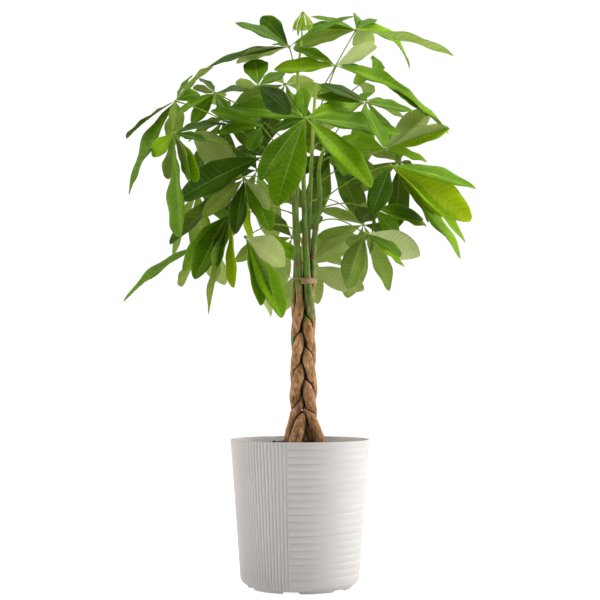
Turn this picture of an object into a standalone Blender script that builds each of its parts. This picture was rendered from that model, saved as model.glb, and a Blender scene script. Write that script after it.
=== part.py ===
"""Potted money tree: a ribbed planter, its soil, five braided stems, a tie and a crown of palmate fronds.

Metres, +Z up, the origin at the middle of the planter's foot, the front towards -Y.
"""
import math
import random

import bpy
import bmesh
from mathutils import Matrix, Vector
from mathutils.bvhtree import BVHTree
from mathutils.geometry import convex_hull_2d, interpolate_bezier

UP = Vector((0, 0, 1))
GAP = 0.0003

# Planter
POT_HEIGHT = 0.267
POT_RADIUS = 0.127
POT_TAPER = 0.073
POT_WALL = 0.0034
POT_CORNER = 0.018
POT_FLOOR = 0.009
FOOT_HEIGHT = 0.004
FOOT_INNER = 0.087
FOOT_OUTER = 0.095
NOTCH_WIDTH = 0.031
NOTCH_COUNT = 6
SEAM_ANGLE = -99.5
FLUTES = 63
FLUTE_DEPTH = 0.0013
RINGS = 20
RING_PITCH = 0.0126
RING_TOP = 0.2545
RING_DEPTH = 0.0012

# Soil
SOIL_EDGE = 0.247
SOIL_MIDDLE = 0.2635
FILL_SIDES = 26

# Stems: where each leaves the soil, the braid, and the shoots above it
STEM_FOOT = 0.212
SOIL_LEVEL = 0.262
STEM_FEET = [(-0.0095, -0.0215), (0.020, 0.0215), (0.035, -0.0115), (0.0095, 0.0005), (-0.0185, 0.0145)]
BRAID_TOP = 0.497
BRAID_LOOSE = 0.40
BRAID_PITCH = 0.294
BRAID_NODE = 0.439
BRAID_WIDE = 0.016
BRAID_DEEP = 0.016
BRAID_AXIS = 0.0062
STEM_RADII = [(0.21, 0.0088), (0.262, 0.0089), (0.30, 0.0079), (0.342, 0.0070), (0.38, 0.0063), (0.42, 0.0061),
              (0.52, 0.0060), (0.59, 0.0057), (0.645, 0.0049), (0.71, 0.0039), (0.80, 0.0029), (0.93, 0.0023),
              (1.01, 0.0016)]
SHOOTS = [
    [(-0.0055, 0.008, 0.59), (-0.0055, 0.014, 0.645), (-0.007, 0.026, 0.709), (0, 0.040, 0.80), (0, 0.050, 0.874)],
    [(-0.0028, -0.0065, 0.59), (-0.0075, -0.009, 0.645), (-0.011, -0.013, 0.709), (-0.013, -0.015, 0.773)],
    [(0.0225, 0.001, 0.59), (0.0275, 0.002, 0.645), (0.037, 0, 0.709), (0.035, 0.004, 0.765), (0.048, 0.010, 0.819)],
    [(0.0123, -0.008, 0.59), (0.009, -0.008, 0.645), (0.0065, -0.006, 0.746), (0.002, -0.004, 0.856),
     (-0.0045, 0, 0.930), (0.004, 0, 1.010)],
    [(0.012, 0.0075, 0.59), (0.015, 0.008, 0.654), (0.020, 0.008, 0.746), (0.024, 0.005, 0.838), (0.0295, 0.002, 0.922)],
]

# Tie
TIE_HEIGHT = 0.5575
TIE_BAND = 0.009
TIE_CORD = 0.0008
LAPS = 24

# Fronds: petiole, hub and blades
PETIOLE = 0.0013
PETIOLE_SEAT = 0.0004
HUB_RADIUS = 0.0036
HUB_DEPTH = 0.0034
BLADE_THICKNESS = 0.0007
BLADE_WIDTH = 0.37
BLADE_FOLD = 14
BLADE_STEPS = 24
BLADE_STATIONS = (0, 8, 17, 24)
LONG_STATIONS = (0, 7, 14, 20, 24)
LONG_BLADE = 185

# Each frond: stem, height where its petiole leaves it, hub, lean of its plane, way it faces, droop of its blades.
# Each blade: azimuth, rise and length (mm), then its roll and droop where they differ from the frond's own.
# A frond with no blades listed carries a full wheel of them.
FRONDS = {
    "frond_01": (3, 0.735, (0.010, -0.130, 0.835), 58, -92, 20, [
        (150, 20, 165, -5), (95, 50, 95, -30), (25, 25, 115, 10), (5, 0, 170, -5), (-20, -40, 175, -15),
        (-145, -65, 170, -25), (-145, -45, 150, 15), (135, 0, 90, -20)]),
    "frond_02": (3, 0.942, (-0.020, -0.030, 0.985), 40, -110, 25, [
        (135, 50, 100, -40), (165, 35, 115, 10), (165, 0, 165, 5), (155, 0, 110, 55), (5, 35, 135, -10),
        (125, 25, 55, 5)]),
    "frond_03": (4, 0.900, (0.105, 0.030, 1.030), 35, -80, 25, [
        (165, 15, 120, -10), (160, 0, 125, 55), (160, 30, 95), (85, 40, 85, 55), (55, 35, 80, -5),
        (35, 15, 155, 25, 90), (-5, -5, 190, -35), (75, 5, 125, -50)]),
    "frond_04": (4, 0.856, (0.065, -0.050, 0.945), 50, -95, 25, [
        (155, 35, 95, 5), (150, 10, 115, -15), (25, -10, 150, 5), (35, 35, 105, -100)]),
    "frond_05": (4, 0.840, (0.135, -0.020, 0.935), 50, -60, 30, [
        (80, 45, 95, 30), (115, 15, 80, -110), (150, 45, 95, 15), (20, 0, 145, -10), (15, -15, 200, -5),
        (40, -10, 150, 10)]),
    "frond_06": (2, 0.790, (0.110, -0.115, 0.865), 50, -80, 25, [
        (80, 35, 65, -25), (20, 5, 100), (150, 35, 95), (145, 15, 90, -40), (-70, -35, 135, -35)]),
    "frond_07": (2, 0.742, (0.160, 0.030, 0.805), 50, -60, 25, [
        (30, 45, 135, -160), (10, 35, 130, -95), (15, 10, 130, -5, -20), (25, 0, 90, 5), (135, 25, 110, -60),
        (90, 10, 120)]),
    "frond_08": (2, 0.705, (0.165, -0.040, 0.765), 55, -60, 20, [
        (10, -25, 180, 55), (10, -5, 165, -10), (15, -45, 215, -10), (-125, -50, 115), (-5, -40, 195, -20),
        (30, -40, 140, -50)]),
    "frond_09": (2, 0.665, (0.115, -0.100, 0.635), 60, -80, 20, [
        (-115, -45, 130, 180), (40, -5, 140, -140), (-50, -20, 100, -20), (20, -30, 95, -15), (100, 0, 110)]),
    "frond_10": (0, 0.655, (0.010, 0.080, 0.590), 75, -85, 15, [
        (15, 35, 120, -175), (5, -15, 120, -175), (165, 45, 80), (-145, -55, 100, 180), (95, -20, 110)]),
    "frond_11": (0, 0.800, (-0.160, 0.050, 0.915), 35, -150, 25, [
        (165, -15, 85, -35), (140, -30, 80, -110), (140, 25, 60, 90), (-55, -40, 75, -20), (20, 20, 95, 30),
        (120, 40, 75, 50), (90, 10, 110)]),
    "frond_12": (1, 0.755, (-0.225, -0.055, 0.880), 50, -130, 30, [
        (135, -35, 210, -20, 40), (140, -10, 140, 15), (-90, -45, 80, 110), (60, 30, 80, 80),
        (40, 50, 110, -45), (60, 55, 75, -20), (95, -15, 130)]),
    "frond_13": (1, 0.735, (-0.225, -0.090, 0.815), 55, -120, 25, [
        (125, -10, 85, -90), (-75, -65, 205, 60), (-55, -55, 110, -140), (-40, -50, 110, 60), (40, 30, 125, 5),
        (-30, -5, 70, -10), (100, -25, 120)]),
    "frond_14": (1, 0.715, (-0.065, -0.110, 0.770), 55, -120, 15, [
        (155, -15, 185, -30), (120, 20, 90)]),
    "frond_15": (1, 0.700, (-0.100, -0.075, 0.735), 58, -110, 20, [
        (140, 55, 160, 180), (-115, -70, 105, 10), (-30, -55, 110, -20), (-35, -40, 80, -150),
        (-55, -75, 115, 85), (175, -35, 100, 120), (165, -30, 185, 65)]),
    "frond_16": (1, 0.680, (-0.125, -0.030, 0.680), 58, -110, 25, [
        (-165, -55, 140, -20), (165, -40, 140, -15), (-80, -70, 145, 70), (-135, -70, 195, 85),
        (-130, -65, 110, 30), (-145, -60, 100, 95), (100, -30, 120)]),
    "frond_17": (1, 0.650, (-0.095, -0.135, 0.625), 58, -100, 20, [
        (-55, -65, 130, -65), (-40, -55, 165, -45), (-55, -15, 135, -155), (-35, -65, 150, -130)]),
    "frond_18": (3, 0.840, (-0.075, -0.090, 0.900), 50, -100, 20, [
        (95, 40, 130), (135, 20, 60, 100), (35, 35, 65, 25), (-55, -25, 120, 40)]),
    "frond_19": (0, 0.705, (-0.185, 0.010, 0.625), 50, -130, 25, [
        (165, -20, 185, 10, 35), (110, -20, 140), (60, -30, 110)]),
    "frond_20": (2, 0.690, (0.135, -0.045, 0.685), 60, -60, 25, [
        (55, -20, 100, 70), (35, 0, 125, -5), (35, 5, 115), (-135, -50, 120, -90), (100, 5, 120)]),
    "frond_21": (1, 0.770, (-0.070, -0.050, 0.835), 50, -110, 20, [
        (160, 15, 105), (165, 0, 115, -5), (-110, -35, 80, -35), (60, 60, 80, 10), (110, 20, 110)]),
    "frond_22": (4, 0.765, (0.060, 0.040, 0.805), 55, -80, 20, [
        (65, -15, 115, 120), (-75, -50, 95, -25), (-125, -30, 100, -25), (35, 30, 70, 5), (120, 50, 70, -10),
        (85, 0, 110)]),
    "frond_23": (0, 0.860, (0.130, 0.170, 0.925), 45, 50, 35, None),
    "frond_24": (0, 0.868, (-0.030, 0.190, 0.960), 40, 95, 35, None),
    "frond_25": (0, 0.845, (-0.150, 0.160, 0.885), 50, 135, 35, None),
    "frond_26": (2, 0.780, (0.195, 0.150, 0.800), 55, 35, 35, None),
    "frond_27": (4, 0.800, (0.060, 0.200, 0.820), 55, 75, 35, None),
    "frond_28": (0, 0.760, (-0.085, 0.200, 0.790), 55, 110, 35, None),
    "frond_29": (0, 0.735, (-0.200, 0.150, 0.745), 58, 145, 35, None),
    "frond_30": (4, 0.705, (0.125, 0.190, 0.680), 60, 55, 35, None),
    "frond_31": (0, 0.690, (-0.015, 0.190, 0.655), 60, 92, 35, None),
}
WHEEL_BLADES = 6
WHEEL_SPAN = 292
WHEEL_LENGTH = 150
WHEEL_CUP = 16

# Small turns and trims that let a blade pass its neighbours: azimuth, rise, roll and share of its length
TURNS = [(0, 0, 0), (6, 0, 0), (-6, 0, 0), (0, 6, 0), (0, -6, 0), (0, 0, 20), (0, 0, -20), (6, 6, 0), (-6, 6, 0),
         (6, -6, 0), (-6, -6, 0), (12, 0, 0), (-12, 0, 0), (0, 12, 0), (0, -12, 0), (8, 8, 25), (-8, 8, -25),
         (8, -8, 25), (-8, -8, -25), (0, 0, 40), (0, 0, -40), (18, 0, 0), (-18, 0, 0), (0, 20, 0), (0, -20, 0),
         (14, 14, 20), (-14, 14, -20), (14, -14, 20), (-14, -14, -20), (26, 0, 0), (-26, 0, 0), (20, 20, 0),
         (-20, 20, 0), (20, -20, 0), (-20, -20, 0)]
TRIMS = (1.0, 0.86, 0.72, 0.6)
CLEARANCE = 0.0016


def clear_scene():
    for obj in list(bpy.data.objects):
        bpy.data.objects.remove(obj, do_unlink=True)


def make_collection(name):
    collection = bpy.data.collections.new(name)
    bpy.context.scene.collection.children.link(collection)
    return collection


def make_material(name, colour, roughness):
    material = bpy.data.materials.new(name)
    material.use_nodes = True
    shader = material.node_tree.nodes["Principled BSDF"]
    shader.inputs["Base Color"].default_value = (*colour, 1)
    shader.inputs["Roughness"].default_value = roughness
    shader.inputs["Metallic"].default_value = 0.0
    material.diffuse_color = (*colour, 1)
    return material


def mix(a, b, t):
    return a + (b - a) * t


def smooth(x, low, high):
    t = min(max((x - low) / (high - low), 0.0), 1.0)
    return t * t * (3 - 2 * t)


def lookup(table, x):
    """Straight-line reading of a table of (x, value) pairs."""
    if x <= table[0][0]:
        return table[0][1]
    for (x0, y0), (x1, y1) in zip(table, table[1:]):
        if x <= x1:
            return mix(y0, y1, (x - x0) / (x1 - x0))
    return table[-1][1]


def new_object(name, mesh, collection, material=None):
    obj = bpy.data.objects.new(name, mesh)
    collection.objects.link(obj)
    if material:
        mesh.materials.append(material)
    return obj


def from_bmesh(name, bm, collection, material=None):
    bmesh.ops.recalc_face_normals(bm, faces=bm.faces[:])
    mesh = bpy.data.meshes.new(name)
    bm.to_mesh(mesh)
    bm.free()
    return new_object(name, mesh, collection, material)


def bake(obj):
    """Replace an object's data by its evaluated mesh, with its caps welded."""
    depsgraph = bpy.context.evaluated_depsgraph_get()
    mesh = bpy.data.meshes.new_from_object(obj.evaluated_get(depsgraph))
    bm = bmesh.new()
    bm.from_mesh(mesh)
    bmesh.ops.remove_doubles(bm, verts=bm.verts[:], dist=1e-6)
    bmesh.ops.triangulate(bm, faces=bm.faces[:])
    bm.to_mesh(mesh)
    bm.free()
    name = obj.name
    collection = obj.users_collection[0]
    material = obj.active_material
    bpy.data.objects.remove(obj, do_unlink=True)
    solid = bpy.data.objects.new(name, mesh)
    collection.objects.link(solid)
    mesh.materials.clear()
    if material:
        mesh.materials.append(material)
    return solid


def boolean(obj, operation, operand, name):
    modifier = obj.modifiers.new(name, "BOOLEAN")
    modifier.operation = operation
    modifier.solver = "EXACT"
    if isinstance(operand, bpy.types.Collection):
        modifier.operand_type = "COLLECTION"
        modifier.collection = operand
    else:
        modifier.object = operand
    return modifier


def shade(obj, angle=35):
    obj.data.shade_smooth()
    obj.data.set_sharp_from_angle(angle=math.radians(angle))


def drop_collection(collection):
    for obj in list(collection.objects):
        bpy.data.objects.remove(obj, do_unlink=True)
    bpy.data.collections.remove(collection)


def cutter(obj):
    obj.hide_render = True
    obj.display_type = "WIRE"
    return obj


# Shapes --------------------------------------------------------------------------------------------

def turned(name, profile, collection, steps, material=None):
    """Turn a profile of (radius, height) pairs, given from the top of its outer side down, around Z."""
    bm = bmesh.new()
    verts = [bm.verts.new((radius, 0, height)) for radius, height in profile]
    for a, b in zip(verts, verts[1:]):
        bm.edges.new((a, b))
    if profile[0][0] > 1e-6:
        bm.edges.new((verts[-1], verts[0]))
    mesh = bpy.data.meshes.new(name)
    bm.to_mesh(mesh)
    bm.free()
    obj = new_object(name, mesh, collection, material)
    screw = obj.modifiers.new("Turn", "SCREW")
    screw.steps = steps
    screw.render_steps = steps
    screw.use_merge_vertices = True
    screw.merge_threshold = 0.00002
    return obj


def tube(name, points, radii, collection, material=None, resolution=2):
    """A round rod along points, as one closed mesh."""
    curve = bpy.data.curves.new(name, "CURVE")
    curve.dimensions = "3D"
    curve.bevel_depth = 1.0
    curve.bevel_resolution = resolution
    curve.use_fill_caps = True
    spline = curve.splines.new("POLY")
    spline.points.add(len(points) - 1)
    for point, place, radius in zip(spline.points, points, radii):
        point.co = (*place, 1)
        point.radius = radius
    obj = bpy.data.objects.new(name, curve)
    collection.objects.link(obj)
    if material:
        curve.materials.append(material)
    return bake(obj)


def catmull(points, spacing):
    """Points every so often along a smooth curve through the given points."""
    knots = [2 * points[0] - points[1], *points, 2 * points[-1] - points[-2]]
    places = [points[0]]
    for p0, p1, p2, p3 in zip(knots, knots[1:], knots[2:], knots[3:]):
        count = max(1, round((p2 - p1).length / spacing))
        for k in range(1, count + 1):
            t = k / count
            places.append(0.5 * (2 * p1 + (p2 - p0) * t + (2 * p0 - 5 * p1 + 4 * p2 - p3) * t * t
                                 + (3 * p1 - p0 - 3 * p2 + p3) * t ** 3))
    return places


# Planter --------------------------------------------------------------------------------------------

def wall_radius(height):
    return POT_RADIUS - POT_TAPER * (POT_HEIGHT - height)


def corner(angle):
    """Point on the rounded lower corner, 0 at the floor and 90 at the wall: (radius, height)."""
    turn = math.radians(angle)
    top = FOOT_HEIGHT + POT_CORNER
    return (wall_radius(top) - POT_CORNER * (1 - math.sin(turn)), top - POT_CORNER * math.cos(turn))


def flute(step, strength):
    return -FLUTE_DEPTH * strength * (step % 2)


def fluted_body(collection):
    """The whole planter as a stack of rings: fluted on one half, smooth and a little smaller on the other."""
    fluted = 2 * FLUTES
    plain = 15
    angles = [math.radians(SEAM_ANGLE - 180 * k / fluted) for k in range(fluted)]
    angles += [math.radians(SEAM_ANGLE - 180 - 180 * k / plain) for k in range(plain)]
    rings = [(*corner(0), 0.0), (*corner(45), 0.4), (*corner(90), 1.0), (wall_radius(POT_HEIGHT), POT_HEIGHT, 1.0)]
    bm = bmesh.new()
    rows = []
    for radius, height, strength in rings:
        row = []
        for k, angle in enumerate(angles):
            offset = flute(k, strength) if k < fluted else -RING_DEPTH - 0.0012
            place = (radius + offset) * Vector((math.cos(angle), math.sin(angle), 0))
            row.append(bm.verts.new((place.x, place.y, height)))
        rows.append(row)
    for low, high in zip(rows, rows[1:]):
        for k in range(len(angles)):
            n = (k + 1) % len(angles)
            bm.faces.new((low[k], low[n], high[n], high[k]))
    bm.faces.new(rows[0])
    bm.faces.new(rows[-1])
    return from_bmesh("pot", bm, collection)


def ringed_half(collection):
    """The half with level ribs: a turned sleeve, cut down to its half by a box."""
    profile = [(wall_radius(POT_HEIGHT), POT_HEIGHT)]
    for k in range(RINGS):
        groove = RING_TOP - k * RING_PITCH
        crest = groove - 0.42 * RING_PITCH
        profile.append((wall_radius(groove) - RING_DEPTH, groove))
        if crest > FOOT_HEIGHT + POT_CORNER * 0.6:
            profile.append((wall_radius(crest) + 0.0001, crest))
    profile = [point for point in profile if point[1] > FOOT_HEIGHT + POT_CORNER]
    profile += [corner(60), corner(30), corner(6)]
    profile += [(wall_radius(0.02) - 0.014, FOOT_HEIGHT + 0.002), (wall_radius(0.03) - 0.006, 0.03),
                (wall_radius(POT_HEIGHT) - 0.006, POT_HEIGHT)]
    sleeve = turned("sleeve", profile, collection, 30)
    bm = bmesh.new()
    bmesh.ops.create_cube(bm, size=1)
    half = from_bmesh("half", bm, collection)
    half.scale = (0.3, 0.3, 0.4)
    turn = math.radians(SEAM_ANGLE + 90)
    half.location = (0.15 * math.cos(turn), 0.15 * math.sin(turn), 0.1)
    half.rotation_euler.z = turn
    cutter(half)
    boolean(sleeve, "INTERSECT", half, "Half")
    return cutter(sleeve)


def make_pot(parts, guides, material):
    pot = fluted_body(parts)
    pot.data.materials.append(material)
    boolean(pot, "UNION", ringed_half(guides), "Ringed half")
    foot = turned("foot", [(FOOT_OUTER, 0.001), (FOOT_OUTER - 0.001, 0), (FOOT_INNER + 0.001, 0),
                           (FOOT_INNER, 0.001), (FOOT_INNER, FOOT_HEIGHT + 0.002),
                           (FOOT_OUTER, FOOT_HEIGHT + 0.002)], guides, 28)
    boolean(pot, "UNION", cutter(foot), "Foot")
    cavity_floor = wall_radius(POT_FLOOR) - POT_WALL - 0.012
    cavity = turned("cavity", [(0, POT_HEIGHT + 0.01), (wall_radius(POT_HEIGHT + 0.01) - POT_WALL, POT_HEIGHT + 0.01),
                               (wall_radius(0.03) - POT_WALL, 0.03), (wall_radius(0.015) - POT_WALL - 0.004, 0.015),
                               (cavity_floor, POT_FLOOR), (0, POT_FLOOR)], guides, FILL_SIDES)
    boolean(pot, "DIFFERENCE", cutter(cavity), "Cavity")
    for k in range(NOTCH_COUNT):
        bm = bmesh.new()
        bmesh.ops.create_cube(bm, size=1)
        notch = from_bmesh(f"notch_{k + 1}", bm, guides)
        notch.scale = (0.03, NOTCH_WIDTH, 0.007)
        turn = math.radians(SEAM_ANGLE - 0.5 + k * 360 / NOTCH_COUNT)
        notch.location = (0.091 * math.cos(turn), 0.091 * math.sin(turn), 0)
        notch.rotation_euler.z = turn
        boolean(pot, "DIFFERENCE", cutter(notch), f"Notch {k + 1}")
    pot = bake(pot)
    shade(pot, 25)
    return pot


# Stems ----------------------------------------------------------------------------------------------

def braid_point(index, height):
    """A strand crosses the front from its outer side up to the middle, then dives behind."""
    eased = BRAID_TOP + 0.02 * (1 - math.exp((BRAID_TOP - height) / 0.02)) if height > BRAID_TOP else height
    phase = math.tau * ((eased - BRAID_NODE) / BRAID_PITCH + index / 5) + math.pi
    spread = 1 + 0.5 * smooth(BRAID_LOOSE - height, 0.0, 0.12)
    depth = 1 + 0.3 * smooth(BRAID_LOOSE - height, 0.0, 0.12)
    return Vector((BRAID_AXIS + BRAID_WIDE * spread * math.sin(phase),
                   BRAID_DEEP * depth * math.sin(2 * phase), height))


def stem_path(index):
    foot = braid_point(index, SOIL_LEVEL)
    shift = Vector((STEM_FEET[index][0] - foot.x, STEM_FEET[index][1] - foot.y, 0))
    lean = (braid_point(index, SOIL_LEVEL + 0.01) - foot) / 0.01
    path = [foot + shift + lean * (STEM_FOOT - SOIL_LEVEL)]
    shoot = [Vector(point) for point in SHOOTS[index]]
    height = SOIL_LEVEL - 0.008
    while height < shoot[0].z - 0.004:
        point = braid_point(index, height) + shift * (1 - smooth(height, SOIL_LEVEL, 0.345))
        rise = shoot[0] + (height - shoot[0].z) * Vector((0, 0, 1))
        path.append(point.lerp(rise, smooth(height, BRAID_TOP + 0.005, 0.580)))
        height += 0.0135
    return path + catmull(shoot, 0.03)


def stem_radius(height, tip):
    return lookup(STEM_RADII, height) * (1 - 0.25 * smooth(height, tip - 0.05, tip))


def stem_at(path, height):
    """Centre of a stem at a height."""
    for a, b in zip(path, path[1:]):
        if a.z <= height <= b.z:
            return a.lerp(b, (height - a.z) / (b.z - a.z))
    return path[-1].copy()


def make_stems(parts, guides, material):
    stems = []
    paths = [stem_path(index) for index in range(5)]
    for index, path in enumerate(paths):
        radii = [stem_radius(point.z, path[-1].z) for point in path]
        stem = tube(f"stem_{index + 1}", path, radii, parts, material, resolution=1)
        shade(stem, 60)
        stems.append(stem)
        hole = [path[0] + (path[0] - path[1]).normalized() * GAP, path[1], path[2], stem_at(path, 0.29)]
        widths = [stem_radius(point.z, 1) / math.cos(math.pi / 6) + 0.0006 for point in hole]
        cutter(tube(f"hole_{index + 1}", hole, widths, guides, resolution=1))
    return stems, paths


def make_soil(parts, guides, material):
    """The potting mix: a turned body with a low mound, roughened on top and holed for each stem."""
    random.seed(4)
    def fill(height):
        return wall_radius(height) - POT_WALL - GAP - 0.0003

    top = [(0.0, SOIL_MIDDLE)]
    for k in range(1, 5):
        share = k / 4
        top.append((share * fill(SOIL_EDGE), mix(SOIL_MIDDLE, SOIL_EDGE, share ** 1.7)))
    profile = top + [(fill(0.03), 0.03), (fill(0.016) - 0.0045, 0.016), (fill(POT_FLOOR) - 0.013, POT_FLOOR + GAP),
                     (0, POT_FLOOR + GAP)]
    soil = bake(turned("soil", profile, parts, FILL_SIDES, material))
    for vertex in soil.data.vertices:
        edge = math.hypot(vertex.co.x, vertex.co.y) / fill(SOIL_EDGE)
        if vertex.co.z > SOIL_EDGE - 0.001 and edge < 0.97:
            lump = random.uniform(-0.0016, 0.0016)
            skew = -0.0012 * math.cos(math.atan2(vertex.co.y, vertex.co.x)) * edge
            vertex.co.z += lump + skew
    for index in range(5):
        boolean(soil, "DIFFERENCE", guides.objects[f"hole_{index + 1}"], f"Hole {index + 1}")
    return bake(soil)


# Tie ------------------------------------------------------------------------------------------------

def wrap(paths, height, margin):
    """The loop that a string takes around the stems at a height."""
    ring = []
    for path in paths:
        centre = stem_at(path, height)
        reach = stem_radius(height, 1) + margin
        for k in range(16):
            turn = math.tau * k / 16
            ring.append(Vector((centre.x + reach * math.cos(turn), centre.y + reach * math.sin(turn))))
    hull = [ring[k] for k in convex_hull_2d(ring)]
    hull.append(hull[0])
    total = sum((b - a).length for a, b in zip(hull, hull[1:]))
    loop = []
    walked = 0.0
    for a, b in zip(hull, hull[1:]):
        length = (b - a).length
        while len(loop) < LAPS and len(loop) * total / LAPS <= walked + length:
            place = a.lerp(b, (len(loop) * total / LAPS - walked) / length)
            loop.append(Vector((place.x, place.y, height)))
        walked += length
    return loop


def cord_loop(name, paths, height, tilt, collection):
    loop = wrap(paths, height, TIE_CORD + 0.0009)
    for place in loop:
        place.z += tilt * (place.x - BRAID_AXIS)
    bm = bmesh.new()
    rings = []
    for k, place in enumerate(loop):
        ahead = (loop[(k + 1) % len(loop)] - loop[k - 1]).normalized()
        side = ahead.cross(UP).normalized()
        rings.append([bm.verts.new(place + TIE_CORD * (side * math.cos(math.tau * q / 4)
                                                       + UP * math.sin(math.tau * q / 4))) for q in range(4)])
    for k, ring in enumerate(rings):
        other = rings[(k + 1) % len(rings)]
        for q in range(4):
            bm.faces.new((ring[q], ring[(q + 1) % 4], other[(q + 1) % 4], other[q]))
    return from_bmesh(name, bm, collection)


def make_tie(parts, paths, material):
    """Two cords around the stems, a flat lap of raffia over their front right side and a loose end."""
    pieces = make_collection("tie_pieces")
    cord_loop("cord_upper", paths, TIE_HEIGHT + 0.0032, 0.03, pieces)
    cord_loop("cord_lower", paths, TIE_HEIGHT - 0.0030, -0.04, pieces)
    loop = wrap(paths, TIE_HEIGHT, TIE_CORD + 0.0009)
    middle = Vector((0.008, 0.0, TIE_HEIGHT))
    def bearing(place):
        return (math.degrees(math.atan2(place.y - middle.y, place.x - middle.x)) + 110) % 360

    lap = sorted((place for place in loop if bearing(place) < 125), key=bearing)
    bm = bmesh.new()
    rows = []
    for place in lap:
        out = Vector((place.x - middle.x, place.y - middle.y, 0)).normalized()
        rows.append([bm.verts.new(place + out * depth * 0.0006 + UP * side * TIE_BAND / 2)
                     for depth, side in ((-1, -1), (1, -1), (1, 1), (-1, 1))])
    for a, b in zip(rows, rows[1:]):
        for q in range(4):
            bm.faces.new((a[q], a[(q + 1) % 4], b[(q + 1) % 4], b[q]))
    bm.faces.new(rows[0])
    bm.faces.new(rows[-1])
    band = from_bmesh("tie", bm, parts, material)
    left = min(wrap(paths, TIE_HEIGHT + 0.0032, TIE_CORD + 0.0009), key=lambda place: place.x)
    left.z += 0.03 * (left.x - BRAID_AXIS)
    end = [left, left + Vector((-0.0035, -0.002, 0.004)), left + Vector((-0.0065, -0.003, 0.012)),
           left + Vector((-0.0068, -0.003, 0.020)), left + Vector((-0.003, -0.004, 0.0262)),
           left + Vector((0.0, -0.0075, 0.0245))]
    places = catmull(end, 0.0055)
    tube("loose_end", places, [0.00075] * len(places), pieces, resolution=0)
    boolean(band, "UNION", pieces, "Cords")
    tie = bake(band)
    drop_collection(pieces)
    shade(tie, 50)
    return tie


# Fronds ---------------------------------------------------------------------------------------------

def heading(azimuth, rise):
    a = math.radians(azimuth)
    r = math.radians(rise)
    return Vector((math.cos(a) * math.cos(r), math.sin(a) * math.cos(r), math.sin(r)))


def frond_frame(lean, facing):
    """The way a frond's upper side looks, and the two directions of its plane: outwards and sideways."""
    out = heading(facing, 0)
    t = math.radians(lean)
    normal = out * math.sin(t) + UP * math.cos(t)
    along = out * math.cos(t) - UP * math.sin(t)
    return normal, along, normal.cross(along)


def wheel(name, lean, facing):
    """Blades set around the hub by rule, the outermost the longest."""
    normal, along, across = frond_frame(lean, facing)
    blades = []
    for k in range(WHEEL_BLADES):
        draw = random.Random(f"{name} {k}")
        share = k / (WHEEL_BLADES - 1) * 2 - 1
        turn = math.radians(WHEEL_SPAN / 2 * share + draw.uniform(-5, 5))
        cup = math.radians(WHEEL_CUP + draw.uniform(-6, 6))
        way = (along * math.cos(turn) + across * math.sin(turn)) * math.cos(cup) - normal * math.sin(cup)
        length = WHEEL_LENGTH * (1 - 0.38 * abs(share) ** 1.5) * draw.uniform(0.92, 1.06)
        blades.append((math.degrees(math.atan2(way.y, way.x)), math.degrees(math.asin(way.z)), length))
    return blades


def blade_outline(root, azimuth, rise, length, roll, droop, normal, stations, fold=BLADE_FOLD):
    """Left edge, midrib and right edge of a blade at some of its steps, and its upper normals there."""
    level = heading(azimuth, 0)
    side = Vector((level.y, -level.x, 0))
    start = math.radians(rise)
    bend = math.radians(droop) * math.cos(start)
    first = side.cross(level * math.cos(start) + UP * math.sin(start))
    turn = math.atan2(normal.dot(side), normal.dot(first)) + math.radians(roll)
    place = root.copy()
    rows = []
    for k in range(BLADE_STEPS + 1):
        share = k / BLADE_STEPS
        if k:
            tilt = start - bend * ((k - 0.5) / BLADE_STEPS) ** 1.2
            place = place + (level * math.cos(tilt) + UP * math.sin(tilt)) * (length / BLADE_STEPS)
        if k in stations:
            tilt = start - bend * share ** 1.2
            ahead = level * math.cos(tilt) + UP * math.sin(tilt)
            raised = side.cross(ahead)
            swing = turn * (1 - 0.3 * share)
            across = side * math.cos(swing) - raised * math.sin(swing)
            upper = raised * math.cos(swing) + side * math.sin(swing)
            half = BLADE_WIDTH / 2 * length * math.sin(math.pi * min(share, 1) ** 1.35) ** 0.85
            lift = upper * half * math.sin(math.radians(fold))
            spread = across * half * math.cos(math.radians(fold))
            rows.append((place - spread + lift, place.copy(), place + spread + lift, upper))
    return rows


def blade_triangles(rows):
    """Points and triangles of a thin blade: a point, a few rows of three and a point."""
    points = [rows[0][1]]
    for left, middle, right, _ in rows[1:-1]:
        points += [left, middle, right]
    points.append(rows[-1][1])
    faces = [(0, 1, 2), (0, 2, 3)]
    count = len(rows) - 2
    for k in range(count - 1):
        a = 1 + 3 * k
        faces += [(a, a + 3, a + 4), (a, a + 4, a + 1), (a + 1, a + 4, a + 5), (a + 1, a + 5, a + 2)]
    a = 1 + 3 * (count - 1)
    faces += [(a, a + 3, a + 1), (a + 1, a + 3, a + 2)]
    return points, faces


def blade_probe(rows):
    """A blade's points and faces, thickened by the clearance that it keeps."""
    points, faces = blade_triangles(rows)
    uppers = [rows[0][3]] + [row[3] for row in rows[1:-1] for _ in range(3)] + [rows[-1][3]]
    middles = [rows[0][1]] + [row[1] for row in rows[1:-1] for _ in range(3)] + [rows[-1][1]]
    verts = []
    sheets = []
    for height in (-CLEARANCE, -0.0004, 0.0004, CLEARANCE):
        base = len(verts)
        for point, upper, middle in zip(points, uppers, middles):
            out = point - middle
            grown = point + out.normalized() * CLEARANCE if out.length > 1e-6 else point
            verts.append(grown + upper * height)
        sheets += [tuple(base + q for q in face) for face in faces]
    return BVHTree.FromPolygons(verts, sheets)


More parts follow.
